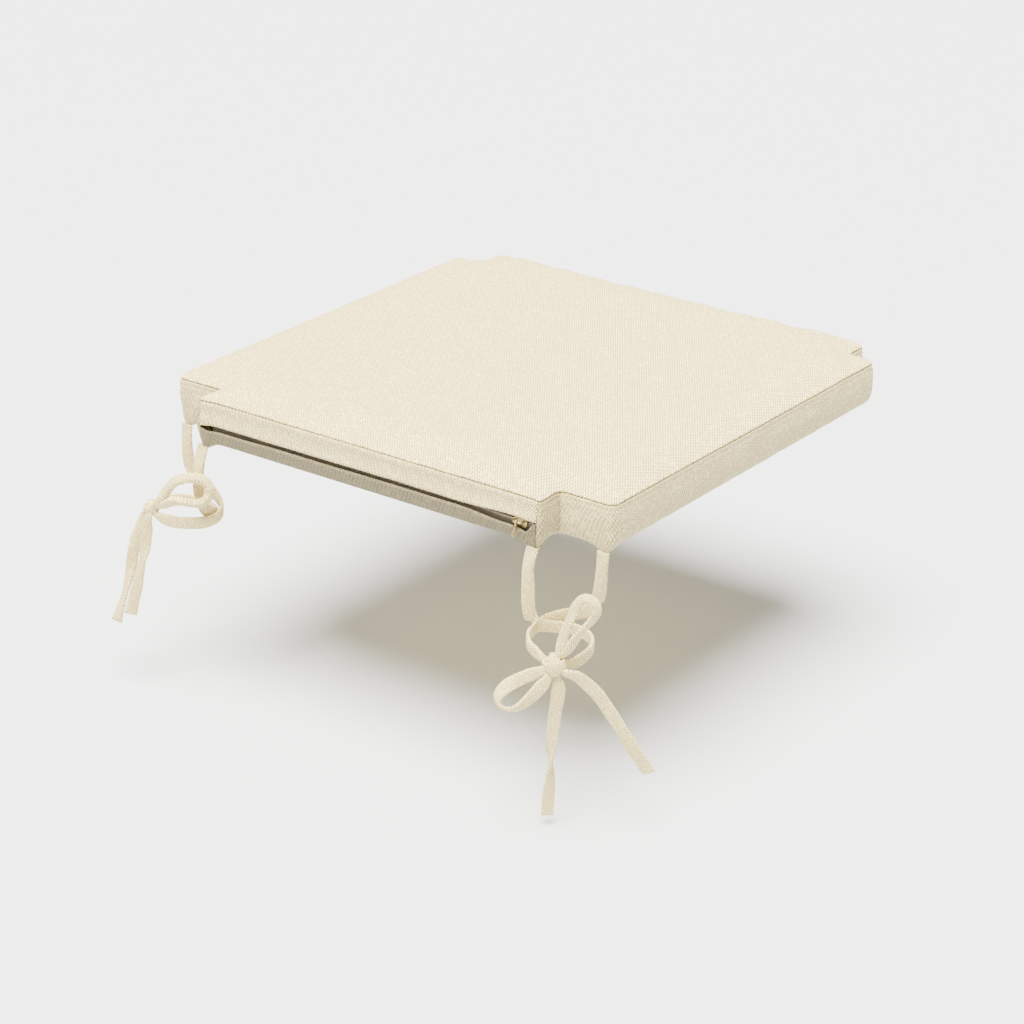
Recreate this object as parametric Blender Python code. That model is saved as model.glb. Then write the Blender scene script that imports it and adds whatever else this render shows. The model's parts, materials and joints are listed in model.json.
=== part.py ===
"""Boxed seat cushion for a dining chair, notched at its four corners.

The cover has a zip along its rear edge. Two pairs of fabric ties hang from the rear notches
and are tied in bows, as they are round the chair's two rear posts.

Frame: origin at the centre of the flat underside, +X to the sitter's right, +Y to the front,
+Z up. Everything is in metres.
"""

import math

import bmesh
import bpy
from mathutils import Vector

# Overall size of the cushion
SEAT_DEPTH = 0.452
REAR_WIDTH = 0.444
FRONT_WIDTH = 0.452
EDGE_HEIGHT = 0.0375
CROWN_RISE = 0.008
CROWN_ROLL = 0.060
CORNER_RADIUS = 0.007
INNER_CORNER_RADIUS = 0.003

# Notches for the chair's posts and front legs
REAR_NOTCH_WIDTH = 0.050
REAR_NOTCH_DEPTH = 0.028
FRONT_NOTCH_WIDTH = 0.030
FRONT_NOTCH_DEPTH = 0.030
POST_DIAMETER = 0.040
POST_SIDE_GAP = 0.001
POST_FRONT_GAP = 0.006

# Sheets and filling
FABRIC = 0.0015
WADDING = 0.004
TOP_WADDING = 0.003
SEWN_GAP = 0.0003

# Zip: a coil chain on two tapes, behind two folded lips
ZIP_HEIGHT = 0.0155
LIP_GAP = 0.004
LIP_FOLD = 0.008
TAPE_THICKNESS = 0.0006
TAPE_WIDTH = 0.0105
COIL_HEIGHT = 0.0024
COIL_THICKNESS = 0.0016
CHAIN_SPLIT = 0.0014
ZIP_SPACE = 0.010

# Slider and its pull tab
SLIDER_LENGTH = 0.013
SLIDER_PLATE = 0.001
SLIDER_PLATE_HEIGHT = 0.009
SLIDER_END_MARGIN = 0.013
WEDGE_THICKNESS = 0.0008
WEDGE_LENGTH = 0.004
FLANGE_THICKNESS = 0.0008
ARCH_LENGTH = 0.0076
ARCH_ROD = 0.0014
ARCH_STANDOFF = 0.0034
TAB_LENGTH = 0.014
TAB_WIDTH = 0.0042
TAB_THICKNESS = 0.001
TAB_EYE_CLEARANCE = 0.0003
TAB_LEAN = math.radians(22)

# Ties: the side of the post that the bows face is turned from the rear towards the right
BOW_TURN = math.radians(35.7)
TIE_DIAMETER = 0.004
TIE_POINT_SPACING = 0.006
TIE_TOP_HEIGHT = 0.003
TIE_SIDE_GAP = 0.0005
KNOT_GAP = 0.0008
INNER_TIE_SETBACK = {"left": -0.0005, "right": 0.008}
OUTER_TIE_SETBACK = 0.009
KNOTS = {
    "left": {"centre": (-0.0300, 0.0100, -0.0625), "radii": (0.0065, 0.0060, 0.0065)},
    "right": {"centre": (-0.0053, 0.0265, -0.0833), "radii": (0.0090, 0.0065, 0.0080)},
}

# Each tie's route in its post's frame: across, out towards the bow's face, and height.
# The drop starts at the seam and goes round the post to the knot, the loop leaves the knot
# and comes back, and the tail hangs from it.
TIE_ROUTES = {
    "tie_left_inner": {
        "drop": [
            (0.0125, 0.0178, -0.0155),
            (0.0117, 0.0188, -0.0330),
            (0.0115, 0.0195, -0.0480),
            (0.0145, 0.0175, -0.0595),
            (0.0205, 0.0095, -0.0680),
            (0.0230, -0.0030, -0.0715),
            (0.0175, -0.0155, -0.0720),
            (0.0050, -0.0230, -0.0710),
            (-0.0090, -0.0215, -0.0690),
            (-0.0195, -0.0130, -0.0665),
            (-0.0245, -0.0040, -0.0645),
        ],
        "loop": [
            (-0.0280, 0.0150, -0.0520),
            (-0.0190, 0.0195, -0.0425),
            (-0.0075, 0.0235, -0.0325),
            (0.0073, 0.0275, -0.0272),
            (0.0189, 0.0280, -0.0305),
            (0.0244, 0.0280, -0.0390),
            (0.0200, 0.0280, -0.0482),
            (0.0099, 0.0275, -0.0510),
            (-0.0036, 0.0255, -0.0510),
            (-0.0165, 0.0190, -0.0575),
        ],
        "tail": [
            (-0.0325, 0.0160, -0.0780),
            (-0.0345, 0.0150, -0.0900),
            (-0.0365, 0.0140, -0.1020),
            (-0.0400, 0.0135, -0.1160),
            (-0.0440, 0.0130, -0.1310),
            (-0.0485, 0.0130, -0.1480),
            (-0.0514, 0.0130, -0.1612),
        ],
    },
    "tie_left_outer": {
        "drop": [
            (-0.0028, -0.0306, -0.0150),
            (-0.0025, -0.0306, -0.0300),
            (0.0000, -0.0305, -0.0430),
            (0.0080, -0.0290, -0.0545),
            (0.0185, -0.0225, -0.0625),
            (0.0262, -0.0110, -0.0670),
            (0.0280, 0.0030, -0.0695),
            (0.0225, 0.0165, -0.0705),
            (0.0110, 0.0245, -0.0700),
            (-0.0040, 0.0255, -0.0695),
            (-0.0170, 0.0215, -0.0685),
            (-0.0245, 0.0165, -0.0665),
        ],
        "tail": [
            (-0.0375, 0.0040, -0.0760),
            (-0.0410, 0.0045, -0.0890),
            (-0.0475, 0.0045, -0.1020),
            (-0.0500, 0.0040, -0.1150),
            (-0.0515, 0.0045, -0.1280),
            (-0.0550, 0.0055, -0.1430),
            (-0.0600, 0.0065, -0.1580),
            (-0.0636, 0.0075, -0.1705),
        ],
    },
    "tie_right_inner": {
        "drop": [
            (-0.0268, -0.0124, -0.0140),
            (-0.0268, -0.0124, -0.0300),
            (-0.0266, -0.0124, -0.0460),
            (-0.0250, -0.0130, -0.0585),
            (-0.0205, -0.0165, -0.0660),
            (-0.0120, -0.0220, -0.0690),
            (0.0000, -0.0245, -0.0715),
            (0.0120, -0.0215, -0.0740),
            (0.0205, -0.0125, -0.0760),
            (0.0235, -0.0010, -0.0775),
            (0.0215, 0.0100, -0.0790),
            (0.0150, 0.0185, -0.0815),
            (0.0070, 0.0235, -0.0835),
        ],
        "loop": [
            (-0.0160, 0.0295, -0.0865),
            (-0.0275, 0.0315, -0.0900),
            (-0.0400, 0.0335, -0.0965),
            (-0.0480, 0.0350, -0.1050),
            (-0.0460, 0.0360, -0.1125),
            (-0.0360, 0.0360, -0.1150),
            (-0.0245, 0.0345, -0.1085),
            (-0.0150, 0.0320, -0.0985),
        ],
        "tail": [
            (0.0077, 0.0325, -0.0885),
            (0.0195, 0.0340, -0.0975),
            (0.0315, 0.0340, -0.1110),
            (0.0417, 0.0330, -0.1270),
            (0.0520, 0.0320, -0.1450),
            (0.0630, 0.0310, -0.1630),
            (0.0704, 0.0300, -0.1750),
        ],
    },
    "tie_right_outer": {
        "drop": [
            (0.0297, -0.0080, -0.0140),
            (0.0290, -0.0090, -0.0290),
            (0.0275, -0.0110, -0.0440),
            (0.0235, -0.0165, -0.0560),
            (0.0150, -0.0255, -0.0635),
            (0.0015, -0.0302, -0.0675),
            (-0.0125, -0.0275, -0.0715),
            (-0.0215, -0.0185, -0.0745),
            (-0.0260, -0.0060, -0.0755),
            (-0.0250, 0.0070, -0.0765),
            (-0.0195, 0.0165, -0.0780),
            (-0.0150, 0.0215, -0.0800),
        ],
        "loop": [
            (-0.0050, 0.0285, -0.0690),
            (0.0000, 0.0285, -0.0580),
            (0.0065, 0.0290, -0.0410),
            (0.0110, 0.0300, -0.0285),
            (0.0170, 0.0310, -0.0235),
            (0.0230, 0.0320, -0.0275),
            (0.0232, 0.0330, -0.0355),
            (0.0180, 0.0330, -0.0460),
            (0.0115, 0.0315, -0.0600),
            (0.0075, 0.0300, -0.0700),
        ],
        "tail": [
            (-0.0025, 0.0275, -0.1000),
            (-0.0028, 0.0270, -0.1100),
            (-0.0043, 0.0250, -0.1300),
            (-0.0068, 0.0240, -0.1500),
            (-0.0080, 0.0240, -0.1740),
            (-0.0092, 0.0240, -0.1980),
            (-0.0100, 0.0240, -0.2160),
        ],
    },
}

# Fineness of the round shapes
ARC_STEPS = 4
CROWN_CELLS = 16
KNOT_SEGMENTS = 16
KNOT_RINGS = 10
FAR = 0.1

# Heights and depths that follow from the sizes above
REAR_Y = -SEAT_DEPTH / 2
FRONT_Y = SEAT_DEPTH / 2
NOTCH_X = REAR_WIDTH / 2 - REAR_NOTCH_WIDTH
NOTCH_Y = REAR_Y + REAR_NOTCH_DEPTH
TOP_EDGE_Z = EDGE_HEIGHT - FABRIC
BOXING_LOW = FABRIC + SEWN_GAP
BOXING_HIGH = TOP_EDGE_Z - SEWN_GAP
FOAM_LOW = FABRIC + WADDING + 2 * SEWN_GAP
FOAM_HIGH = TOP_EDGE_Z - SEWN_GAP - TOP_WADDING
LIP_INNER_Y = REAR_Y + 2 * FABRIC
OUTER_PLATE_Y = LIP_INNER_Y + SEWN_GAP
TAPE_Y = OUTER_PLATE_Y + SLIDER_PLATE + SEWN_GAP
COIL_Y = TAPE_Y + TAPE_THICKNESS + SEWN_GAP
INNER_PLATE_Y = COIL_Y + COIL_THICKNESS + SEWN_GAP
ZIP_HALF_LENGTH = NOTCH_X - CORNER_RADIUS - SEWN_GAP
SLIDER_X = NOTCH_X - CORNER_RADIUS - SLIDER_END_MARGIN
POST_X = NOTCH_X + POST_SIDE_GAP + POST_DIAMETER / 2
POST_Y = NOTCH_Y - POST_FRONT_GAP - POST_DIAMETER / 2

COVER_CLOTH = ((0.78, 0.72, 0.60, 1.0), 0.9, 0.0)
TIE_CLOTH = ((0.74, 0.68, 0.56, 1.0), 0.9, 0.0)
FOAM = ((0.86, 0.80, 0.58, 1.0), 0.95, 0.0)
FIBRE = ((0.92, 0.92, 0.90, 1.0), 0.95, 0.0)
ZIP_TAPE = ((0.17, 0.15, 0.11, 1.0), 0.8, 0.0)
ZIP_COIL = ((0.13, 0.12, 0.09, 1.0), 0.5, 0.0)
AGED_BRASS = ((0.40, 0.30, 0.15, 1.0), 0.4, 1.0)


def clear_scene():
    for leftover in list(bpy.data.objects):
        bpy.data.objects.remove(leftover, do_unlink=True)


def new_collection(name):
    collection = bpy.data.collections.new(name)
    bpy.context.scene.collection.children.link(collection)
    return collection


clear_scene()
PARTS = new_collection("seat_cushion")
CUTTERS = new_collection("cutters")


def give_material(part, finish):
    """Give the part its own Principled material of this colour, roughness and metallic value."""
    colour, roughness, metallic = finish
    material = bpy.data.materials.new(part.name)
    material.use_nodes = True
    shader = material.node_tree.nodes["Principled BSDF"]
    shader.inputs["Base Color"].default_value = colour
    shader.inputs["Roughness"].default_value = roughness
    shader.inputs["Metallic"].default_value = metallic
    part.data.materials.append(material)


def add_part(name, data, finish):
    part = bpy.data.objects.new(name, data)
    PARTS.objects.link(part)
    give_material(part, finish)
    return part


def add_cutter(name, data):
    cutter = bpy.data.objects.new(name, data)
    CUTTERS.objects.link(cutter)
    cutter.hide_render = True
    cutter.display_type = "WIRE"
    return cutter


def combine(part, cutter, operation, solver="EXACT"):
    modifier = part.modifiers.new(f"{operation.lower()}_{cutter.name}", "BOOLEAN")
    modifier.operation = operation
    modifier.object = cutter
    modifier.solver = solver


# ---- the cushion's notched outline -------------------------------------------------------


def side_half(y):
    """Half of the cushion's width at this depth: it widens evenly from rear to front."""
    share = (y - REAR_Y) / SEAT_DEPTH
    return (REAR_WIDTH + (FRONT_WIDTH - REAR_WIDTH) * share) / 2


def outline_corners(inset, rear_inset):
    """The twelve corners, anticlockwise from the rear edge's right end, moved inwards."""
    rear = REAR_Y + rear_inset
    notch_y = NOTCH_Y + inset
    front_notch_x = FRONT_WIDTH / 2 - FRONT_NOTCH_WIDTH - inset
    front_notch_y = FRONT_Y - FRONT_NOTCH_DEPTH - inset
    right = [
        (NOTCH_X - inset, rear),
        (NOTCH_X - inset, notch_y),
        (side_half(notch_y) - inset, notch_y),
        (side_half(front_notch_y) - inset, front_notch_y),
        (front_notch_x, front_notch_y),
        (front_notch_x, FRONT_Y - inset),
    ]
    left = [(-x, y) for x, y in reversed(right)]
    return [Vector(corner) for corner in right + left]


def rounded_corner(before, corner, after, inset):
    """Points along the arc that rounds one corner of the outline."""
    towards_before = (before - corner).normalized()
    towards_after = (after - corner).normalized()
    outward_turn = towards_before.x * towards_after.y - towards_before.y * towards_after.x < 0
    radius = CORNER_RADIUS - inset if outward_turn else INNER_CORNER_RADIUS + inset
    half_angle = towards_before.angle(towards_after) / 2
    setback = radius / math.tan(half_angle)
    bisector = (towards_before + towards_after).normalized()
    centre = corner + bisector * radius / math.sin(half_angle)
    start = corner + towards_before * setback - centre
    end = corner + towards_after * setback - centre
    sweep = start.angle_signed(end)
    points = []
    for step in range(ARC_STEPS + 1):
        angle = -sweep * step / ARC_STEPS
        turned = Vector((
            start.x * math.cos(angle) - start.y * math.sin(angle),
            start.x * math.sin(angle) + start.y * math.cos(angle),
        ))
        points.append(centre + turned)
    return points


def outline(inset=0.0, rear_inset=None):
    """The whole outline with rounded corners, moved inwards by the inset."""
    corners = outline_corners(inset, inset if rear_inset is None else rear_inset)
    points = []
    for index, corner in enumerate(corners):
        after = corners[(index + 1) % len(corners)]
        points += rounded_corner(corners[index - 1], corner, after, inset)
    return points


def flat_shape(name, loops, thickness):
    """A filled 2D curve: the first loop is the outline, and any others are holes."""
    curve = bpy.data.curves.new(name, "CURVE")
    curve.dimensions = "2D"
    curve.fill_mode = "BOTH"
    curve.extrude = thickness / 2
    for loop in loops:
        spline = curve.splines.new("POLY")
        spline.points.add(len(loop) - 1)
        for point, place in zip(spline.points, loop):
            point.co = (place[0], place[1], 0.0, 1.0)
        spline.use_cyclic_u = True
    return curve


def slab(name, points, low, high, finish):
    """A flat plate with this outline between two heights."""
    part = add_part(name, flat_shape(name, [points], high - low), finish)
    part.location.z = (low + high) / 2
    return part


def as_mesh(part):
    """Turn a curve object into a welded mesh object in the same place."""
    bpy.context.view_layer.update()
    evaluated = part.evaluated_get(bpy.context.evaluated_depsgraph_get())
    mesh = bpy.data.meshes.new_from_object(evaluated)
    shape = bmesh.new()
    shape.from_mesh(mesh)
    bmesh.ops.remove_doubles(shape, verts=shape.verts, dist=0.000001)
    shape.to_mesh(mesh)
    shape.free()
    name = part.name
    collection = part.users_collection[0]
    place = part.matrix_world.copy()
    bpy.data.objects.remove(part, do_unlink=True)
    solid = bpy.data.objects.new(name, mesh)
    collection.objects.link(solid)
    solid.matrix_world = place
    return solid


# ---- the crown of the top ----------------------------------------------------------------


def distance_to_edge(x, y):
    """How far a point of the plan lies inside the outline, or 0 outside it."""
    across = abs(x)
    rear_notch = math.hypot(max(NOTCH_X - across, 0.0), max(y - NOTCH_Y, 0.0))
    front_notch = math.hypot(
        max(FRONT_WIDTH / 2 - FRONT_NOTCH_WIDTH - across, 0.0),
        max(FRONT_Y - FRONT_NOTCH_DEPTH - y, 0.0),
    )
    nearest = min(side_half(y) - across, y - REAR_Y, FRONT_Y - y, rear_notch, front_notch)
    return max(nearest, 0.0)


def crown(x, y):
    """Height of the cover above its edge seam: it rises quickly and is level in the middle."""
    share = min(distance_to_edge(x, y) / CROWN_ROLL, 1.0)
    return CROWN_RISE * (1 - (1 - share) ** 2)


def crown_cutter(name, base, end):
    """A closed block whose one face follows the crown above the base height."""
    half_size = max(REAR_WIDTH, FRONT_WIDTH, SEAT_DEPTH) / 2 + CORNER_RADIUS
    shape = bmesh.new()
    bmesh.ops.create_grid(shape, x_segments=CROWN_CELLS, y_segments=CROWN_CELLS, size=half_size)
    for vertex in shape.verts:
        vertex.co.z = base + crown(vertex.co.x, vertex.co.y)
    grown = bmesh.ops.extrude_face_region(shape, geom=shape.faces[:])
    for item in grown["geom"]:
        if isinstance(item, bmesh.types.BMVert):
            item.co.z = end
    bmesh.ops.recalc_face_normals(shape, faces=shape.faces)
    bmesh.ops.triangulate(shape, faces=shape.faces, quad_method="FIXED")
    mesh = bpy.data.meshes.new(name)
    shape.to_mesh(mesh)
    shape.free()
    return add_cutter(name, mesh)


def build_cover_panels():
    slab("cover_bottom_panel", outline(), 0.0, FABRIC, COVER_CLOTH)
    blank = as_mesh(slab("cover_top_panel", outline(), BOXING_HIGH, TOP_EDGE_Z + FAR / 2, COVER_CLOTH))
    combine(blank, crown_cutter("above_cover", EDGE_HEIGHT, FAR), "DIFFERENCE")
    combine(blank, crown_cutter("below_cover", TOP_EDGE_Z, -FAR), "DIFFERENCE")


def build_filling():
    side_inset = FABRIC + SEWN_GAP
    edge = outline(side_inset, ZIP_SPACE)
    slab("wadding_bottom", edge, BOXING_LOW, FOAM_LOW - SEWN_GAP, FIBRE)
    slab("foam_core", edge, FOAM_LOW, FOAM_HIGH, FOAM)
    blank = as_mesh(slab("wadding_top", edge, FOAM_HIGH + SEWN_GAP, TOP_EDGE_Z + FAR / 2, FIBRE))
    # EXACT leaves a slit between the two rear notches, whose faces lie in one plane
    cutter = crown_cutter("above_wadding", TOP_EDGE_Z - SEWN_GAP, FAR)
    combine(blank, cutter, "DIFFERENCE", solver="MANIFOLD")


# ---- the boxing: upright strips round the edge -------------------------------------------


def trimmed(path):
    """The path with half a sewn gap taken off each end."""
    first = path[0] + (path[1] - path[0]).normalized() * SEWN_GAP / 2
    last = path[-1] + (path[-2] - path[-1]).normalized() * SEWN_GAP / 2
    return [first] + path[1:-1] + [last]


def boxing_strip(name, start, end):
    """An upright strip that follows the outline from one of its points to another."""
    outer = trimmed(outline()[start:end + 1])
    inner = trimmed(outline(FABRIC)[start:end + 1])
    slab(name, outer + inner[::-1], BOXING_LOW, BOXING_HIGH, COVER_CLOTH)


def build_boxing():
    """Strips meet where the arcs begin or end, counted in points along the outline."""
    per_corner = ARC_STEPS + 1
    boxing_strip("rear_notch_boxing_right", 0, per_corner)
    boxing_strip("side_boxing_right", per_corner, 4 * per_corner)
    boxing_strip("front_boxing", 4 * per_corner, 8 * per_corner - 1)
    boxing_strip("side_boxing_left", 8 * per_corner - 1, 11 * per_corner - 1)
    boxing_strip("rear_notch_boxing_left", 11 * per_corner - 1, 12 * per_corner - 1)


# ---- the zip -----------------------------------------------------------------------------


def bar_along_x(name, section, finish):
    """A straight bar along the zip with this section, given as places along Y and Z."""
    bar = add_part(name, flat_shape(name, [section], 2 * ZIP_HALF_LENGTH), finish)
    bar.rotation_euler = (math.pi / 2, 0, math.pi / 2)
    return bar


def rectangle(low_y, high_y, low_z, high_z):
    return [(low_y, low_z), (high_y, low_z), (high_y, high_z), (low_y, high_z)]


def folded_lip(edge_z, lip_z, fold_z):
    """Section of a flap: one ply from its edge to the lip, and a second ply where it is folded."""
    ply_y = REAR_Y + FABRIC
    return [
        (REAR_Y, edge_z),
        (REAR_Y, lip_z),
        (LIP_INNER_Y, lip_z),
        (LIP_INNER_Y, fold_z),
        (ply_y, fold_z),
        (ply_y, edge_z),
    ]


def build_zip_flaps():
    low_lip = ZIP_HEIGHT - LIP_GAP / 2
    high_lip = ZIP_HEIGHT + LIP_GAP / 2
    lower = folded_lip(BOXING_LOW, low_lip, low_lip - LIP_FOLD)
    upper = folded_lip(BOXING_HIGH, high_lip, high_lip + LIP_FOLD)
    bar_along_x("zip_flap_lower", lower, COVER_CLOTH)
    bar_along_x("zip_flap_upper", upper, COVER_CLOTH)


def build_zip_chain():
    """Each half of the chain: a coil sewn along the edge of its tape."""
    for half, side in (("lower", -1), ("upper", 1)):
        edge = ZIP_HEIGHT + side * CHAIN_SPLIT / 2
        tape_far = edge + side * TAPE_WIDTH
        coil_far = edge + side * COIL_HEIGHT
        tape = rectangle(TAPE_Y, TAPE_Y + TAPE_THICKNESS, min(edge, tape_far), max(edge, tape_far))
        coil = rectangle(COIL_Y, COIL_Y + COIL_THICKNESS, min(edge, coil_far), max(edge, coil_far))
        bar_along_x(f"zip_tape_{half}", tape, ZIP_TAPE)
        bar_along_x(f"zip_coil_{half}", coil, ZIP_COIL)


def block(name, centre, size):
    """A plain box made for joining to the slider."""
    shape = bmesh.new()
    bmesh.ops.create_cube(shape, size=1.0)
    bmesh.ops.scale(shape, vec=size, verts=shape.verts)
    bmesh.ops.translate(shape, vec=centre, verts=shape.verts)
    mesh = bpy.data.meshes.new(name)
    shape.to_mesh(mesh)
    shape.free()
    return mesh


def build_slider():
    """Slider: two plates and a wedge round the chain, and an arch that carries the pull tab.

    Its mesh is placed from the slider's own origin, on the middle of the chain.
    """
    chain_y = COIL_Y + COIL_THICKNESS / 2
    origin = Vector((SLIDER_X, chain_y, ZIP_HEIGHT))
    plate_size = (SLIDER_LENGTH, SLIDER_PLATE, SLIDER_PLATE_HEIGHT)
    outer_y = OUTER_PLATE_Y + SLIDER_PLATE / 2 - chain_y
    inner_y = INNER_PLATE_Y + SLIDER_PLATE / 2 - chain_y
    flange_low = COIL_Y - chain_y
    flange_z = (SLIDER_PLATE_HEIGHT - FLANGE_THICKNESS) / 2
    wedge_x = (SLIDER_LENGTH - WEDGE_LENGTH) / 2
    arch_y = REAR_Y - ARCH_STANDOFF - chain_y
    leg_x = (ARCH_LENGTH - ARCH_ROD) / 2

    slider = add_part("zip_slider", block("zip_slider", (0, outer_y, 0), plate_size), AGED_BRASS)
    slider.location = origin
    pieces = {
        "inner_plate": ((0, inner_y, 0), plate_size),
        "wedge": (
            (wedge_x, (outer_y + inner_y) / 2, 0),
            (WEDGE_LENGTH, inner_y - outer_y, WEDGE_THICKNESS),
        ),
        "arch_rod": ((0, arch_y, 0), (ARCH_LENGTH, ARCH_ROD, ARCH_ROD)),
    }
    for side in (-1, 1):
        pieces[f"flange_{side}"] = (
            (0, (flange_low + inner_y) / 2, side * flange_z),
            (SLIDER_LENGTH, inner_y - flange_low, FLANGE_THICKNESS),
        )
        pieces[f"arch_leg_{side}"] = (
            (side * leg_x, (arch_y + outer_y) / 2, 0),
            (ARCH_ROD, outer_y - arch_y, ARCH_ROD),
        )
    for name, (centre, size) in pieces.items():
        piece = add_cutter(name, block(name, centre, size))
        piece.location = origin
        combine(slider, piece, "UNION")


def circle(radius, steps, start, end):
    """Points along an arc round the origin."""
    angles = [start + (end - start) * step / steps for step in range(steps + 1)]
    return [(radius * math.cos(angle), radius * math.sin(angle)) for angle in angles]


def build_pull_tab():
    """Pull tab: it hangs edge-on from the arch's rod and leans out over the soft lower lip."""
    radius = TAB_WIDTH / 2
    foot = TAB_LENGTH - 2 * radius
    head_arc = circle(radius, 8, 0, math.pi)
    foot_arc = [(x, y - foot) for x, y in circle(radius, 8, math.pi, 2 * math.pi)]
    eye_radius = ARCH_ROD / math.sqrt(2) + TAB_EYE_CLEARANCE
    eye = circle(eye_radius, 16, 0, 2 * math.pi)[:-1]
    shape = flat_shape("zip_pull_tab", [head_arc + foot_arc, eye], TAB_THICKNESS)
    tab = add_part("zip_pull_tab", shape, AGED_BRASS)
    tab.location = (SLIDER_X, REAR_Y - ARCH_STANDOFF, ZIP_HEIGHT)
    tab.rotation_euler = (math.pi / 2, TAB_LEAN, math.pi / 2)


# ---- the ties ----------------------------------------------------------------------------


def beside_post(side, place):
    """A place in a post's frame as a place in the cushion's frame."""
    across, out, height = place
    post_x = POST_X if side == "right" else -POST_X
    x = post_x + across * math.cos(BOW_TURN) + out * math.sin(BOW_TURN)
    y = POST_Y + across * math.sin(BOW_TURN) - out * math.cos(BOW_TURN)
    return Vector((x, y, height))


def tie_root(side, which):
    """Where a tie leaves the bottom seam: an inner one at the rear edge, an outer one in the notch."""
    sign = 1 if side == "right" else -1
    clear = TIE_DIAMETER / 2 + TIE_SIDE_GAP
    if which == "inner":
        return Vector((sign * (NOTCH_X - INNER_TIE_SETBACK[side]), REAR_Y - clear, TIE_TOP_HEIGHT))
    return Vector((sign * (REAR_WIDTH / 2 - OUTER_TIE_SETBACK), NOTCH_Y - clear, TIE_TOP_HEIGHT))


def knot_exit(side, towards):
    """The point just off the knot's surface on the way from its centre to a route point."""
    knot = KNOTS[side]
    way = Vector(towards) - Vector(knot["centre"])
    stretch = math.sqrt(sum((step / radius) ** 2 for step, radius in zip(way, knot["radii"])))
    reach = way.length / stretch + KNOT_GAP
    return Vector(knot["centre"]) + way.normalized() * reach


def smooth_route(points, spacing):
    """Evenly spaced points along a smooth curve through the route's points."""
    ends = [2 * points[0] - points[1]] + points + [2 * points[-1] - points[-2]]
    fine = []
    for index in range(1, len(ends) - 2):
        before, start, end, after = ends[index - 1:index + 3]
        for step in range(12):
            t = step / 12
            fine.append(0.5 * (
                2 * start
                + (end - before) * t
                + (2 * before - 5 * start + 4 * end - after) * t ** 2
                + (3 * start - before - 3 * end + after) * t ** 3
            ))
    fine.append(points[-1])
    lengths = [0.0]
    for first, second in zip(fine, fine[1:]):
        lengths.append(lengths[-1] + (second - first).length)
    count = max(2, round(lengths[-1] / spacing))
    even = []
    index = 0
    for step in range(count + 1):
        target = lengths[-1] * step / count
        while index < len(lengths) - 2 and lengths[index + 1] < target:
            index += 1
        share = (target - lengths[index]) / (lengths[index + 1] - lengths[index])
        even.append(fine[index].lerp(fine[index + 1], share))
    return even


def tie_tube(name, points):
    """One stretch of a tie as a thin round tube."""
    route = smooth_route(points, TIE_POINT_SPACING)
    curve = bpy.data.curves.new(name, "CURVE")
    curve.dimensions = "3D"
    curve.bevel_depth = TIE_DIAMETER / 2
    curve.bevel_resolution = 2
    curve.use_fill_caps = True
    spline = curve.splines.new("POLY")
    spline.points.add(len(route) - 1)
    for point, place in zip(spline.points, route):
        point.co = (*place, 1.0)
    add_part(name, curve, TIE_CLOTH)


def build_tie(name, stretches):
    _, side, which = name.split("_")
    for stretch, places in stretches.items():
        route = [beside_post(side, place) for place in places]
        if stretch == "drop":
            route.insert(0, tie_root(side, which))
        else:
            route.insert(0, beside_post(side, knot_exit(side, places[0])))
        if stretch != "tail":
            route.append(beside_post(side, knot_exit(side, places[-1])))
        tie_tube(f"{name}_{stretch}", route)


def build_knot(side):
    """The knot of a bow: a rounded lump that the stretches of both ties run into."""
    knot = KNOTS[side]
    shape = bmesh.new()
    bmesh.ops.create_uvsphere(shape, u_segments=KNOT_SEGMENTS, v_segments=KNOT_RINGS, radius=1.0)
    across, out, height = knot["radii"]
    bmesh.ops.scale(shape, vec=(across, out, height), verts=shape.verts)
    mesh = bpy.data.meshes.new(f"bow_knot_{side}")
    shape.to_mesh(mesh)
    shape.free()
    mesh.shade_smooth()
    lump = add_part(f"bow_knot_{side}", mesh, TIE_CLOTH)
    lump.location = beside_post(side, knot["centre"])
    lump.rotation_euler.z = BOW_TURN


build_cover_panels()
build_boxing()
build_filling()
build_zip_flaps()
build_zip_chain()
build_slider()
build_pull_tab()
for tie_name, tie_stretches in TIE_ROUTES.items():
    build_tie(tie_name, tie_stretches)
for bow_side in KNOTS:
    build_knot(bow_side)
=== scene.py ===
"""Looks for a boxed dining-chair cushion: cloth cover, rear zip and tied bows."""

import json
import math

import bmesh
import bpy
import numpy as np
from bpy.props import FloatProperty, FloatVectorProperty, IntProperty, PointerProperty
from mathutils import Matrix, Vector
from mathutils.geometry import delaunay_2d_cdt
from mathutils.kdtree import KDTree


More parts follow.
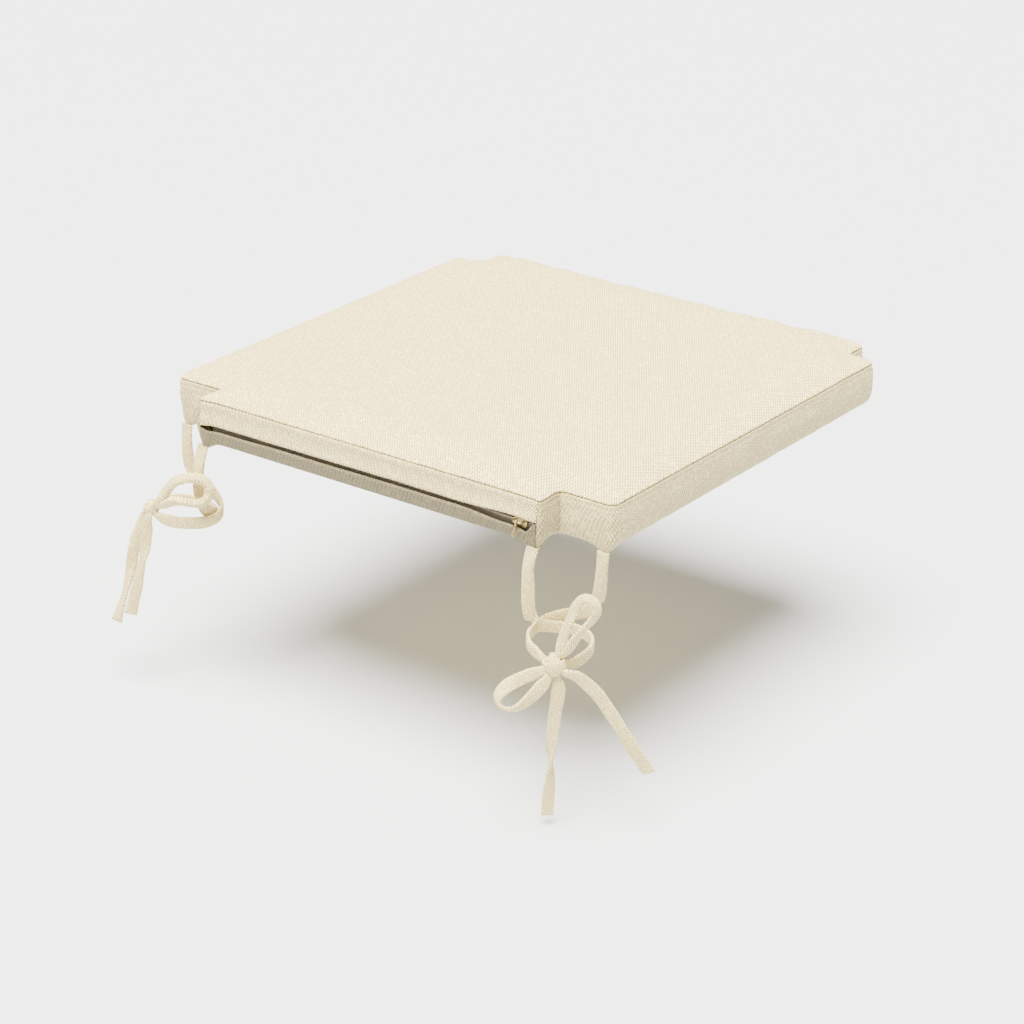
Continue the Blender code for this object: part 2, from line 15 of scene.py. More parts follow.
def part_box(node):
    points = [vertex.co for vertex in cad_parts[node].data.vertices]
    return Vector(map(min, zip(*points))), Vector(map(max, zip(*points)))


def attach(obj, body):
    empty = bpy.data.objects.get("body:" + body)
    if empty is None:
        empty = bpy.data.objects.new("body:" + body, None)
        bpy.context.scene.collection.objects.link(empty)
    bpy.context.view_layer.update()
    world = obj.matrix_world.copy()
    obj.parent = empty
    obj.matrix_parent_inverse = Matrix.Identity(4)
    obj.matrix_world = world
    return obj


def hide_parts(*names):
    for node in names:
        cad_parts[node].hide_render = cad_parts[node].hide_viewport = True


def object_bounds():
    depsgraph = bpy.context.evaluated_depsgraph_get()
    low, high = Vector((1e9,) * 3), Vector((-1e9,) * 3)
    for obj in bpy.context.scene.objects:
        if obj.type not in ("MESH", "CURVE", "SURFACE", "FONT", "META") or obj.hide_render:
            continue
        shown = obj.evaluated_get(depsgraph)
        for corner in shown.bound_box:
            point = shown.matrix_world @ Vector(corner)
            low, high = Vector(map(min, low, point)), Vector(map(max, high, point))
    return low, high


bl_info = {
    "name": "Seat cushion",
    "version": (1, 0, 0),
    "blender": (4, 5, 0),
    "location": "View3D > Sidebar > Cushion",
    "description": "Builds a boxed chair cushion with a zip and tied bows",
    "category": "Object",
}

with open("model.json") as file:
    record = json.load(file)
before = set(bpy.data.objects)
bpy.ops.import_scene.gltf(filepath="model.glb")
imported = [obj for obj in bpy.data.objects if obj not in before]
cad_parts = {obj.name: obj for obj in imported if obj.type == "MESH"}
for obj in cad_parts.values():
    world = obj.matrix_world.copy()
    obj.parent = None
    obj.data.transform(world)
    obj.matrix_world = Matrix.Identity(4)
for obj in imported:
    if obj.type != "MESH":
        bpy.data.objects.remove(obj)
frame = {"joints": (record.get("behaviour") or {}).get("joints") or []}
CAD_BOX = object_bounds()

MM = 0.001
UNDERSIDE_LOW, UNDERSIDE_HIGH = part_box("cover_bottom_panel")
NOTCH_STRIP_LOW, NOTCH_STRIP_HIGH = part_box("rear_notch_boxing_right")
FRONT_STRIP_LOW, FRONT_STRIP_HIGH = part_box("front_boxing")
SIDE_STRIP_LOW, SIDE_STRIP_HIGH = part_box("side_boxing_right")
LIP_LOW, LIP_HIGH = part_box("zip_flap_lower")[1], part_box("zip_flap_upper")[0]
SLIDER_LOW, SLIDER_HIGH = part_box("zip_slider")

REAR_Y = UNDERSIDE_LOW.y
FRONT_Y = UNDERSIDE_HIGH.y
NOTCH_Y = SIDE_STRIP_LOW.y
NOTCH_X = NOTCH_STRIP_HIGH.x
FRONT_NOTCH_X = FRONT_STRIP_HIGH.x
FRONT_NOTCH_Y = SIDE_STRIP_HIGH.y
ZIP_Z = (LIP_LOW.z + LIP_HIGH.z) / 2
SLIDER_X = (SLIDER_LOW.x + SLIDER_HIGH.x) / 2
PIVOT = Vector(next(j for j in frame["joints"] if j["name"] == "pull_tab_swing")["pos_m"])


# ---- settings ----------------------------------------------------------------------------


def length(name, description, default):
    """A setting in metres."""
    return FloatProperty(
        name=name, description=description, default=default, subtype="DISTANCE"
    )


def angle(name, description, degrees):
    """A setting that is an angle, given in degrees."""
    return FloatProperty(
        name=name, description=description, default=math.radians(degrees), subtype="ANGLE"
    )


def colour(name, description, default):
    """A setting that is an opaque colour."""
    return FloatVectorProperty(
        name=name, description=description, default=(*default, 1.0), subtype="COLOR", size=4,
        min=0.0, max=1.0,
    )


class CushionSizes(bpy.types.PropertyGroup):
    """Sizes of the padded cover."""

    rear_width: length("Rear width", "Width at the rear edge", 0.444)
    front_width: length("Front width", "Width at the front edge", 0.452)
    seam_height: length("Seam height", "Height of the seam round the top panel", 0.0375)
    crown: length("Crown", "Rise of the top from its seam to its middle", 0.0062)
    crown_reach: length("Crown reach", "Distance from the edge over which the top rises", 0.060)
    corner_radius: length("Corner radius", "Radius of the outer corners in plan", 0.0085)
    flap_radius: length("Flap corner radius", "Radius of the corners beside the zip", 0.0035)
    inner_radius: length("Inner corner radius", "Radius of the corners inside the notches", 0.0055)
    cloth: length("Cloth thickness", "Thickness of the cover's cloth", 0.0012)
    grid: length("Mesh spacing", "Distance between the top panel's points", 0.0042)


class ClothLook(bpy.types.PropertyGroup):
    """Colours and scale of the twill."""

    light_yarn: colour("Light yarn", "Colour of the cream yarn", (0.97, 0.80, 0.34))
    dark_yarn: colour("Dark yarn", "Colour of the beige yarn", (0.42, 0.285, 0.13))
    wale: length("Wale spacing", "Distance from one diagonal rib to the next", 0.0020)
    float_length: length("Float length", "Length of each yarn's visible stretch", 0.0019)
    wale_angle: angle("Wale angle", "Turn of the ribs from the front-to-back direction", 34)


class TieSizes(bpy.types.PropertyGroup):
    """Sizes of the sewn ties."""

    width: length("Width", "Width of a flat tie", 0.0104)
    thickness: length("Thickness", "Thickness of a flat tie", 0.0034)
    spacing: length("Ring spacing", "Distance between a tie's rings", 0.0016)
    ring_points: IntProperty(
        name="Ring points", description="Points round a tie", default=24, min=8
    )


class ZipLook(bpy.types.PropertyGroup):
    """Colours of the zip."""

    brass: colour("Brass", "Colour of the aged brass", (0.46, 0.36, 0.16))
    tape: colour("Tape", "Colour of the woven tape", (0.50, 0.43, 0.32))
    coil_pitch: length("Coil pitch", "Distance from one turn of the coil to the next", 0.0016)


class StageLook(bpy.types.PropertyGroup):
    """Camera, floor and light."""

    target: FloatVectorProperty(
        name="Target", description="Point the camera looks at", subtype="TRANSLATION",
        default=(0.1172, -0.1870, 0.0),
    )
    azimuth: angle("Azimuth", "Turn of the camera from the rear towards the right", 35.67)
    elevation: angle("Elevation", "Height of the camera above the horizon", 23.74)
    roll: angle("Roll", "Tilt of the camera about its view", 0.87)
    distance: length("Distance", "Distance of the camera from its target", 2.201)
    lens: FloatProperty(
        name="Lens", description="Focal length on a 36 mm sensor", default=98.44,
        unit="CAMERA",
    )
    floor_drop: length("Floor drop", "How far the floor lies below the lowest tie", 0.004)


def settings(name):
    """One of the scene's groups of settings."""
    return getattr(bpy.context.scene, f"cushion_{name}")


# ---- materials ---------------------------------------------------------------------------


class Nodes:
    """A material's node tree, with short ways to add the nodes that it needs."""

    def __init__(self, name):
        self.material = bpy.data.materials.new(name)
        self.material.use_nodes = True
        self.tree = self.material.node_tree
        self.shader = self.tree.nodes["Principled BSDF"]

    def add(self, kind, **values):
        """A new node with some of its values set."""
        node = self.tree.nodes.new(kind)
        for key, value in values.items():
            setattr(node, key, value)
        return node

    def feed(self, socket, value):
        """Link a socket to another node's output, or set it to a constant."""
        if isinstance(value, bpy.types.NodeSocket):
            self.tree.links.new(value, socket)
        else:
            socket.default_value = value

    def math(self, operation, first, second=0.0, third=0.0):
        node = self.add("ShaderNodeMath", operation=operation)
        for socket, value in zip(node.inputs, (first, second, third)):
            self.feed(socket, value)
        return node.outputs[0]

    def vector(self, operation, first, second=(0.0, 0.0, 0.0)):
        node = self.add("ShaderNodeVectorMath", operation=operation)
        self.feed(node.inputs[0], first)
        self.feed(node.inputs[1], second)
        return node.outputs[0]

    def noise(self, place, scale, detail=2.0, output="Fac"):
        node = self.add("ShaderNodeTexNoise")
        self.feed(node.inputs["Vector"], place)
        node.inputs["Scale"].default_value = scale
        node.inputs["Detail"].default_value = detail
        return node.outputs[output]

    def mix(self, share, first, second):
        node = self.add("ShaderNodeMix", data_type="RGBA")
        for number, value in ((0, share), (6, first), (7, second)):
            self.feed(node.inputs[number], value)
        return node.outputs[2]

    def scaled(self, colour, share):
        """A colour made darker by a share."""
        node = self.add("ShaderNodeMix", data_type="RGBA", blend_type="MULTIPLY")
        node.inputs[0].default_value = 1.0
        self.feed(node.inputs[6], colour)
        grey = self.add("ShaderNodeCombineColor")
        for socket in grey.inputs:
            self.feed(socket, share)
        self.feed(node.inputs[7], grey.outputs[0])
        return node.outputs[2]

    def bump(self, height, distance, strength=1.0, below=None):
        node = self.add("ShaderNodeBump")
        node.inputs["Strength"].default_value = strength
        node.inputs["Distance"].default_value = distance
        self.feed(node.inputs["Height"], height)
        if below is not None:
            self.feed(node.inputs["Normal"], below)
        return node.outputs[0]

    def finish(self, **inputs):
        """Feed the shader's inputs, named with underscores for spaces, and give the material."""
        for name, value in inputs.items():
            self.feed(self.shader.inputs[name.replace("_", " ")], value)
        return self.material

    def cloth_place(self):
        """Where a point lies on the flat cloth, in metres, from the mesh's own record of it."""
        return self.add("ShaderNodeAttribute", attribute_name="cloth").outputs["Vector"]

    def object_place(self):
        return self.add("ShaderNodeTexCoord").outputs["Object"]


def tinted(colour, share):
    """A constant colour made darker or brighter, still opaque."""
    return tuple(channel * share for channel in colour[:3]) + (1.0,)


def twill(name, shade=1.0, wale_share=1.0, float_share=1.0, dark_share=0.42):
    """Two-tone twill: diagonal ribs of short yarn floats, cream with beige ones among them."""
    look = settings("cloth_look")
    nodes = Nodes(name)
    place = nodes.cloth_place()
    # The flat cloth, turned so that its ribs run along Y, with yarns that wander a little
    wander = nodes.noise(place, 260.0, 1.0, "Color")
    wander = nodes.vector("SUBTRACT", wander, (0.5, 0.5, 0.5))
    wander = nodes.vector("MULTIPLY", wander, (0.0009, 0.0009, 0.0))
    wandered = nodes.vector("ADD", place, wander)
    rotate = nodes.add("ShaderNodeVectorRotate", rotation_type="Z_AXIS")
    nodes.feed(rotate.inputs["Vector"], wandered)
    rotate.inputs["Angle"].default_value = -look.wale_angle
    split = nodes.add("ShaderNodeSeparateXYZ")
    nodes.feed(split.inputs[0], rotate.outputs[0])
    # Numbers of the rib and of the stitch along it, each rib's stitches staggered
    wale = look.wale * wale_share
    across = nodes.math("DIVIDE", split.outputs[0], wale)
    rib = nodes.math("FLOOR", across)
    stagger = nodes.math("MULTIPLY", rib, 0.38)
    along = nodes.math("DIVIDE", split.outputs[1], look.float_length * float_share)
    along = nodes.math("ADD", along, stagger)
    stitch = nodes.math("FLOOR", along)
    # Each stitch is a small hump
    rib_wave = nodes.math("SINE", nodes.math("MULTIPLY", nodes.math("FRACT", across), math.pi))
    float_wave = nodes.math("SINE", nodes.math("MULTIPLY", nodes.math("FRACT", along), math.pi))
    rib_wave = nodes.math("POWER", nodes.math("ABSOLUTE", rib_wave), 0.65)
    float_wave = nodes.math("POWER", nodes.math("ABSOLUTE", float_wave), 0.40)
    height = nodes.math("MULTIPLY", rib_wave, nodes.math("MULTIPLY_ADD", float_wave, 0.45, 0.55))
    # Every other stitch is beige, but for some chosen by chance
    cell = nodes.add("ShaderNodeCombineXYZ")
    nodes.feed(cell.inputs[0], rib)
    nodes.feed(cell.inputs[1], stitch)
    chance = nodes.add("ShaderNodeTexWhiteNoise", noise_dimensions="2D")
    nodes.feed(chance.inputs["Vector"], cell.outputs[0])
    turns = nodes.math("FRACT", nodes.math("MULTIPLY", nodes.math("ADD", rib, stitch), 0.5))
    picked = nodes.math("MULTIPLY_ADD", chance.outputs["Value"], 0.6, turns)
    beige = nodes.math("GREATER_THAN", picked, 1.05 - dark_share)
    fibre = nodes.noise(place, 3200.0, 3.0)
    slub = nodes.noise(place, 42.0, 3.0)
    soft_beige = nodes.math("MULTIPLY", beige, nodes.math("MULTIPLY_ADD", fibre, 0.5, 0.36))
    # The shade argument darkens all of a piece's yarn: painted shade for pieces that the light
    # reaches less
    colour = nodes.mix(soft_beige, tinted(look.light_yarn, shade), tinted(look.dark_yarn, shade))
    # Painted shade between the stitches, darkest where the humps dip, with slubs and stray fibres
    shadow = nodes.math("MULTIPLY_ADD", height, 0.80, 0.28)
    shadow = nodes.math("MULTIPLY", shadow, nodes.math("MULTIPLY_ADD", slub, 0.14, 0.93))
    shadow = nodes.math("MULTIPLY", shadow, nodes.math("MULTIPLY_ADD", fibre, 0.12, 0.94))
    return nodes.finish(
        Base_Color=nodes.scaled(colour, shadow),
        Normal=nodes.bump(fibre, 0.00012, 0.6, nodes.bump(height, 0.00050)),
        Roughness=nodes.math("MULTIPLY_ADD", height, -0.08, 0.95),
        Sheen_Weight=0.18,
        Sheen_Roughness=0.6,
        Specular_IOR_Level=0.25,
    )


def filling(name, colour, cell_size, depth):
    """Open-cell foam."""
    nodes = Nodes(name)
    place = nodes.object_place()
    cells = nodes.add("ShaderNodeTexVoronoi")
    nodes.feed(cells.inputs["Vector"], place)
    cells.inputs["Scale"].default_value = 1.0 / cell_size
    patch = nodes.noise(place, 30.0, 3.0)
    pits = nodes.math("MINIMUM", nodes.math("MULTIPLY", cells.outputs["Distance"], 1.6), 1.0)
    # Painted shade in each cell's pit, with random patches of tone
    shade = nodes.math("MULTIPLY_ADD", pits, 0.25, 0.72)
    shade = nodes.math("MULTIPLY", shade, nodes.math("MULTIPLY_ADD", patch, 0.2, 0.9))
    return nodes.finish(
        Base_Color=nodes.scaled(colour, shade),
        Normal=nodes.bump(pits, depth),
        Roughness=nodes.math("MULTIPLY_ADD", patch, 0.06, 0.9),
    )


def woven_tape(name):
    """Zip tape: fine lengthwise ribs with a slight gloss."""
    look = settings("zip_look")
    nodes = Nodes(name)
    place = nodes.cloth_place()
    split = nodes.add("ShaderNodeSeparateXYZ")
    nodes.feed(split.inputs[0], place)
    warp = nodes.math("SINE", nodes.math("MULTIPLY", split.outputs[1], math.tau / 0.00075))
    weft = nodes.math("SINE", nodes.math("MULTIPLY", split.outputs[0], math.tau / 0.0009))
    weave = nodes.math("MULTIPLY_ADD", warp, 0.5, nodes.math("MULTIPLY", weft, 0.3))
    fuzz = nodes.noise(place, 1800.0, 2.0)
    # Painted shade in the grooves between the ribs, with random fuzz
    shade = nodes.math("MULTIPLY_ADD", weave, 0.22, nodes.math("MULTIPLY_ADD", fuzz, 0.5, 0.75))
    return nodes.finish(
        Base_Color=nodes.scaled(tuple(look.tape), shade),
        Normal=nodes.bump(weave, 0.00012),
        Roughness=nodes.math("MULTIPLY_ADD", fuzz, 0.15, 0.62),
        Sheen_Weight=0.15,
    )


def nylon(name):
    """Dull olive nylon, slightly glossy."""
    nodes = Nodes(name)
    haze = nodes.noise(nodes.object_place(), 900.0, 2.0)
    shade = nodes.math("MULTIPLY_ADD", haze, 0.4, 0.8)
    return nodes.finish(
        Base_Color=nodes.scaled((0.12, 0.105, 0.08, 1.0), shade),
        Normal=nodes.bump(haze, 0.00003),
        Roughness=nodes.math("MULTIPLY_ADD", haze, 0.2, 0.32),
    )


def aged_brass(name):
    """Brass with a darker patina in patches, bright where it is rubbed, and fine scratches."""
    look = settings("zip_look")
    nodes = Nodes(name)
    place = nodes.object_place()
    patina = nodes.noise(place, 380.0, 4.0)
    scratched = nodes.vector("MULTIPLY", place, (1.0, 6.0, 14.0))
    scratches = nodes.noise(scratched, 700.0, 2.0)
    worn = nodes.math("SMOOTH_MIN", nodes.math("MULTIPLY", patina, 1.5), 1.0, 0.2)
    return nodes.finish(
        Base_Color=nodes.mix(worn, tinted(look.brass, 0.48), tinted(look.brass, 1.15)),
        Normal=nodes.bump(scratches, 0.00003, 0.6),
        Roughness=nodes.math("MULTIPLY_ADD", patina, -0.2, 0.60),
        Metallic=1.0,
    )


# ---- mesh building -----------------------------------------------------------------------


class Sheet:
    """Points, faces and flat-cloth places of a piece of cloth while it is being made."""

    def __init__(self):
        self.points = []
        self.places = []
        self.faces = []

    def grid(self, rows, places, closed=False):
        """Join rows of points with quads. Closed rows join their last point to their first."""
        first = len(self.points)
        width = len(rows[0])
        for row, row_places in zip(rows, places):
            self.points += [tuple(point) for point in row]
            self.places += [tuple(place) for place in row_places]
        for r in range(len(rows) - 1):
            for c in range(width if closed else width - 1):
                d = (c + 1) % width
                low, high = first + r * width, first + (r + 1) * width
                self.faces.append((low + c, low + d, high + d, high + c))
        return first

    def fan(self, ring, centre, place):
        """Close a ring of point numbers with triangles to a centre point."""
        self.points.append(tuple(centre))
        self.places.append(tuple(place))
        middle = len(self.points) - 1
        for index, corner in enumerate(ring):
            self.faces.append((corner, ring[(index + 1) % len(ring)], middle))

    def tube(self, line, faces, half_widths, half_thicknesses, count, power=2.0):
        """A tube round a line, closed with a point at each end."""
        rings, places = tube_rings(line, faces, half_widths, half_thicknesses, count, power)
        first = self.grid(rings, places, closed=True)
        for row in (0, len(rings) - 1):
            ring = [first + row * count + k for k in range(count)]
            self.fan(ring, line[row], places[row][0])

    def make(self, name, material, thickness=0.0, weld=0.00001):
        """The piece: its points welded, and its flat-cloth places kept as an attribute."""
        mesh = bpy.data.meshes.new(name)
        mesh.from_pydata(self.points, [], self.faces)
        record = mesh.attributes.new("cloth", "FLOAT_VECTOR", "POINT")
        record.data.foreach_set("vector", np.array(self.places, np.float32).ravel())
        shape = bmesh.new()
        shape.from_mesh(mesh)
        bmesh.ops.remove_doubles(shape, verts=shape.verts, dist=weld)
        loose = [vertex for vertex in shape.verts if not vertex.link_faces]
        bmesh.ops.delete(shape, geom=loose, context="VERTS")
        bmesh.ops.recalc_face_normals(shape, faces=shape.faces)
        shape.to_mesh(mesh)
        shape.free()
        mesh.shade_smooth()
        return finished(name, mesh, material, thickness)


def linked(name, data):
    """A new object in the scene."""
    item = bpy.data.objects.new(name, data)
    bpy.context.scene.collection.objects.link(item)
    return item


def mesh_of(shape, name):
    """A mesh made from a shape, which is freed."""
    mesh = bpy.data.meshes.new(name)
    shape.to_mesh(mesh)
    shape.free()
    return mesh


def finished(name, mesh, material, thickness=0.0):
    """A piece with its material, and with its cloth's thickness on the inner side."""
    piece = linked(name, mesh)
    mesh.materials.append(material)
    if thickness:
        ply = piece.modifiers.new("ply", "SOLIDIFY")
        ply.thickness = thickness
        ply.offset = -1.0
    return piece


def smooth_line(points, spacing):
    """Evenly spaced points along a smooth curve through the given points."""
    points = np.array([tuple(point) for point in points], float)
    ends = np.vstack([2 * points[0] - points[1], points, 2 * points[-1] - points[-2]])
    fine = []
    steps = np.linspace(0, 1, 16, endpoint=False)[:, None]
    for before, start, end, after in zip(ends, ends[1:], ends[2:], ends[3:]):
        fine.append(0.5 * (
            2 * start
            + (end - before) * steps
            + (2 * before - 5 * start + 4 * end - after) * steps**2
            + (3 * start - before - 3 * end + after) * steps**3
        ))
    fine = np.vstack([*fine, points[-1:]])
    along = np.concatenate([[0], np.cumsum(np.linalg.norm(np.diff(fine, axis=0), axis=1))])
    count = max(2, round(along[-1] / spacing))
    at = np.linspace(0, along[-1], count + 1)
    return np.stack([np.interp(at, along, fine[:, k]) for k in range(fine.shape[1])], axis=1)


def ease(value):
    """0 below 0, 1 above 1, and a smooth step between."""
    value = np.clip(value, 0.0, 1.0)
    return value * value * (3 - 2 * value)


# ---- the cushion's outline ---------------------------------------------------------------


def side_half(y):
    """Half of the cushion's width, which tapers from the front to the rear."""
    sizes = settings("sizes")
    share = (y - REAR_Y) / (FRONT_Y - REAR_Y)
    return (sizes.rear_width + (sizes.front_width - sizes.rear_width) * share) / 2


def corner_places():
    """The plan's twelve corners, anticlockwise from the zip's right end."""
    right = [
        (NOTCH_X, REAR_Y),
        (NOTCH_X, NOTCH_Y),
        (side_half(NOTCH_Y), NOTCH_Y),
        (side_half(FRONT_NOTCH_Y), FRONT_NOTCH_Y),
        (FRONT_NOTCH_X, FRONT_NOTCH_Y),
        (FRONT_NOTCH_X, FRONT_Y),
    ]
    return right + [(-x, y) for x, y in reversed(right)]


def corner_radius(index):
    """The radius of a corner: inside a notch, beside the zip, or at an outer corner."""
    sizes = settings("sizes")
    if index % 6 in (1, 4):
        return sizes.inner_radius
    return sizes.flap_radius if index in (0, 11) else sizes.corner_radius


class Outline:
    """The cover's plan, anticlockwise: points, outward normals and distance along it."""

    ARC = 10
    STEP = 0.0027

    def __init__(self):
        corners = [Vector(place) for place in corner_places()]
        points, self.starts, self.ends = [], [], []
        for index, corner in enumerate(corners):
            before, after = corners[index - 1], corners[(index + 1) % len(corners)]
            back, on = (before - corner).normalized(), (after - corner).normalized()
            radius = corner_radius(index)
            half = back.angle(on) / 2
            reach = radius / math.tan(half)
            centre = corner + (back + on).normalized() * radius / math.sin(half)
            start, end = corner + back * reach - centre, corner + on * reach - centre
            sweep = -start.angle_signed(end)
            self.starts.append(len(points))
            for step in range(self.ARC + 1):
                turn = Matrix.Rotation(sweep * step / self.ARC, 2)
                points.append(centre + turn @ start)
            self.ends.append(len(points) - 1)
            leg_end = self.first_of(corners, index + 1)
            leg = leg_end - points[-1]
            count = max(1, round(leg.length / self.STEP))
            points += [points[-1] + leg * step / count for step in range(1, count)]
        self.points = np.array([tuple(point) for point in points])
        ahead = np.roll(self.points, -1, axis=0) - self.points
        tangent = ahead / np.linalg.norm(ahead, axis=1)[:, None]
        tangent = tangent + np.roll(tangent, 1, axis=0)
        tangent /= np.linalg.norm(tangent, axis=1)[:, None]
        self.normals = np.stack([tangent[:, 1], -tangent[:, 0]], axis=1)
        steps = np.linalg.norm(ahead, axis=1)
        self.along = np.concatenate([[0], np.cumsum(steps)[:-1]])

    def first_of(self, corners, index):
        """Where the next corner's arc begins."""
        index %= len(corners)
        corner = corners[index]
        back = (corners[index - 1] - corner).normalized()
        on = (corners[(index + 1) % len(corners)] - corner).normalized()
        return corner + back * corner_radius(index) / math.tan(back.angle(on) / 2)

    def span(self, first, last):
        """The numbers of the points from one to another, going round if need be."""
        if last < first:
            last += len(self.points)
        return [number % len(self.points) for number in range(first, last + 1)]

    def middle(self, corner):
        """The number of the point halfway round a corner."""
        return (self.starts[corner] + self.ends[corner]) // 2

    def ring(self, inset):
        """The outline moved inwards."""
        return self.points - self.normals * inset


def distances(points, outline):
    """How far each point lies inside the outline."""
    first = outline.points
    step = np.roll(first, -1, axis=0) - first
    square = (step**2).sum(1)
    found = np.empty(len(points))
    for low in range(0, len(points), 2000):
        chunk = points[low:low + 2000]
        way = chunk[:, None, :] - first[None, :, :]
        share = np.clip((way * step[None]).sum(2) / square[None], 0, 1)
        gap = way - share[:, :, None] * step[None]
        found[low:low + 2000] = np.sqrt((gap**2).sum(2)).min(1)
    return found


def inside(points, outline):
    """Which points lie inside the outline."""
    x, y = points[:, 0], points[:, 1]
    odd = np.zeros(len(points), bool)
    for (ax, ay), (bx, by) in zip(outline.points, np.roll(outline.points, -1, axis=0)):
        crosses = (ay > y) != (by > y)
        reach = (bx - ax) * (y - ay) / (by - ay if by != ay else 1.0) + ax
        odd ^= crosses & (x < reach)
    return odd


def crown_height(x, y):
    """Height of the padded top above its seam, blended softly between the edges."""
    sizes = settings("sizes")
    across = np.abs(x)
    rear_notch = np.hypot(np.maximum(NOTCH_X - across, 0), np.maximum(y - NOTCH_Y, 0))
    front_notch = np.hypot(
        np.maximum(FRONT_NOTCH_X - across, 0), np.maximum(FRONT_NOTCH_Y - y, 0)
    )
    gaps = np.stack([side_half(y) - across, y - REAR_Y, FRONT_Y - y, rear_notch, front_notch])
    gaps = np.maximum(gaps, 1e-5)
    near = (gaps**-3.0).sum(0) ** (-1 / 3.0)
    share = np.minimum(near * 1.12 / sizes.crown_reach, 1.0)
    return sizes.crown * (1 - (1 - share) ** 2)


def ripple(x, y, scale, seed):
    """Slow, even unevenness from a few crossed waves, between about -1 and 1."""
    total = np.zeros_like(x)
    for k in range(5):
        angle = seed + 2.4 * k
        pitch = scale * (0.7 + 0.28 * k)
        phase = 1.7 * seed + 3.1 * k
        total += np.sin((x * math.cos(angle) + y * math.sin(angle)) * math.tau / pitch + phase)
    return total / 3.2


# ---- swelling of the filled cover --------------------------------------------------------


class Swelling:
    """How a filled cover swells under pressure, found by cloth simulation on a plain copy."""

    VOXEL = 0.0055  # spacing of the copy's points
    CAP = 0.0040  # the furthest that a point may move
    FRAMES = 20
    CLOTH = {
        "use_pressure": True,
        "uniform_pressure_force": 4.0,
        "vertex_group_mass": "held",
        "pin_stiffness": 1.0,
        "quality": 6,
        "shrink_min": -0.012,
        "tension_stiffness": 25,
        "compression_stiffness": 25,
        "bending_stiffness": 1.5,
    }
    SEAT_BAND = 0.002  # points this close to the underside lie on the seat
    SEAM_BAND = 0.0035  # and points this close to the seam's height are held by it
    NEIGHBOURS = 6

    def __init__(self, outline):
        self.tree = None
        body = self.plain_body(outline)
        rest = np.array([vertex.co for vertex in body.data.vertices])
        self.moves = self.simulate(body, rest)
        bpy.data.objects.remove(body, do_unlink=True)
        self.tree = KDTree(len(rest))
        for number, place in enumerate(rest):
            self.tree.insert(place, number)
        self.tree.balance()

    def plain_body(self, outline):
        """A closed block with the cover's plan, remeshed to an even grid."""
        sizes = settings("sizes")
        ring = outline.ring(0.0008)
        low = [(x, y, 0.0) for x, y in ring]
        high = [(x, y, sizes.seam_height) for x, y in ring]
        count = len(ring)
        faces = [tuple(reversed(range(count))), tuple(range(count, 2 * count))]
        faces += [
            (i, (i + 1) % count, count + (i + 1) % count, count + i) for i in range(count)
        ]
        mesh = bpy.data.meshes.new("swelling_body")
        mesh.from_pydata(low + high, [], faces)
        body = linked("swelling_body", mesh)
        remesh = body.modifiers.new("even", "REMESH")
        remesh.mode = "VOXEL"
        remesh.voxel_size = self.VOXEL
        return self.applied(body)

    def applied(self, body):
        """The body with its modifiers made real."""
        graph = bpy.context.evaluated_depsgraph_get()
        mesh = bpy.data.meshes.new_from_object(body.evaluated_get(graph))
        body.modifiers.clear()
        body.data = mesh
        return body

    def simulate(self, body, rest):
        """The move of each point: the underside lies on the seat, and the top seam is sewn."""
        sizes = settings("sizes")
        held = body.vertex_groups.new(name="held")
        for number, (_, _, z) in enumerate(rest):
            on_seat = z < self.SEAT_BAND
            by_seam = abs(z - sizes.seam_height) < self.SEAM_BAND
            at_seam = by_seam and self.near_edge(rest[number])
            if on_seat or at_seam:
                held.add([number], 1.0 if on_seat else 0.85, "REPLACE")
        cloth = body.modifiers.new("fill", "CLOTH")
        for key, value in self.CLOTH.items():
            setattr(cloth.settings, key, value)
        cloth.settings.effector_weights.gravity = 0.0
        scene = bpy.context.scene
        scene.frame_start, scene.frame_end = 1, self.FRAMES
        for number in range(1, self.FRAMES + 1):
            scene.frame_set(number)
        graph = bpy.context.evaluated_depsgraph_get()
        result = body.evaluated_get(graph).to_mesh()
        ended = np.array([vertex.co for vertex in result.vertices])
        scene.frame_set(1)
        moves = ended - rest
        size = np.linalg.norm(moves, axis=1)
        keep = np.minimum(1.0, self.CAP / np.maximum(size, 1e-9))
        return moves * keep[:, None]

    def near_edge(self, place):
        """Whether a place is close to the outline."""
        x, y, _ = place
        gaps = (
            side_half(y) - abs(x),
            y - REAR_Y,
            FRONT_Y - y,
            max(NOTCH_X - abs(x), y - NOTCH_Y),
            max(FRONT_NOTCH_X - abs(x), FRONT_NOTCH_Y - y),
        )
        return min(gaps) < 0.0075

    def moved(self, points, strength=1.0):
        """The points moved as the nearest points of the swollen body moved."""
        if self.tree is None:
            return points
        points = np.array(points, float)
        out = points.copy()
        for number, point in enumerate(points):
            found = self.tree.find_n(point, self.NEIGHBOURS)
            share = np.array([1.0 / (gap + 0.002) for _, _, gap in found])
            share /= share.sum()
            near = self.moves[[index for _, index, _ in found]]
            out[number] += strength * (near * share[:, None]).sum(0)
        return out


# ---- panels ------------------------------------------------------------------------------

# Profiles run from the seam inwards or downwards: distance out from the outline, height, in mm
TOP_ROLL = [(-2.4, -1.0), (-1.2, -0.7), (-0.5, 0.0), (-0.7, 0.8), (-1.6, 1.5), (-3.2, 2.0)]
BAND = [
    (-2.4, -1.6), (-1.3, -1.2), (-0.4, -1.3), (0.1, -2.0), (0.1, -3.2), (-0.2, -4.3),
    (0.0, -5.1), (0.7, -5.7), (0.9, -6.6), (0.8, -8.6), (1.1, -12.0), (1.3, -16.0),
    (1.3, -20.5), (1.1, -25.0), (0.6, -29.0), (-0.4, -32.4), (-1.9, -35.0), (-4.0, -36.8),
    (-6.2, -37.2),
]
UNDER_ROLL = [(-5.4, -37.1), (-7.0, -37.3), (-9.0, -37.45), (-12.0, -37.5)]


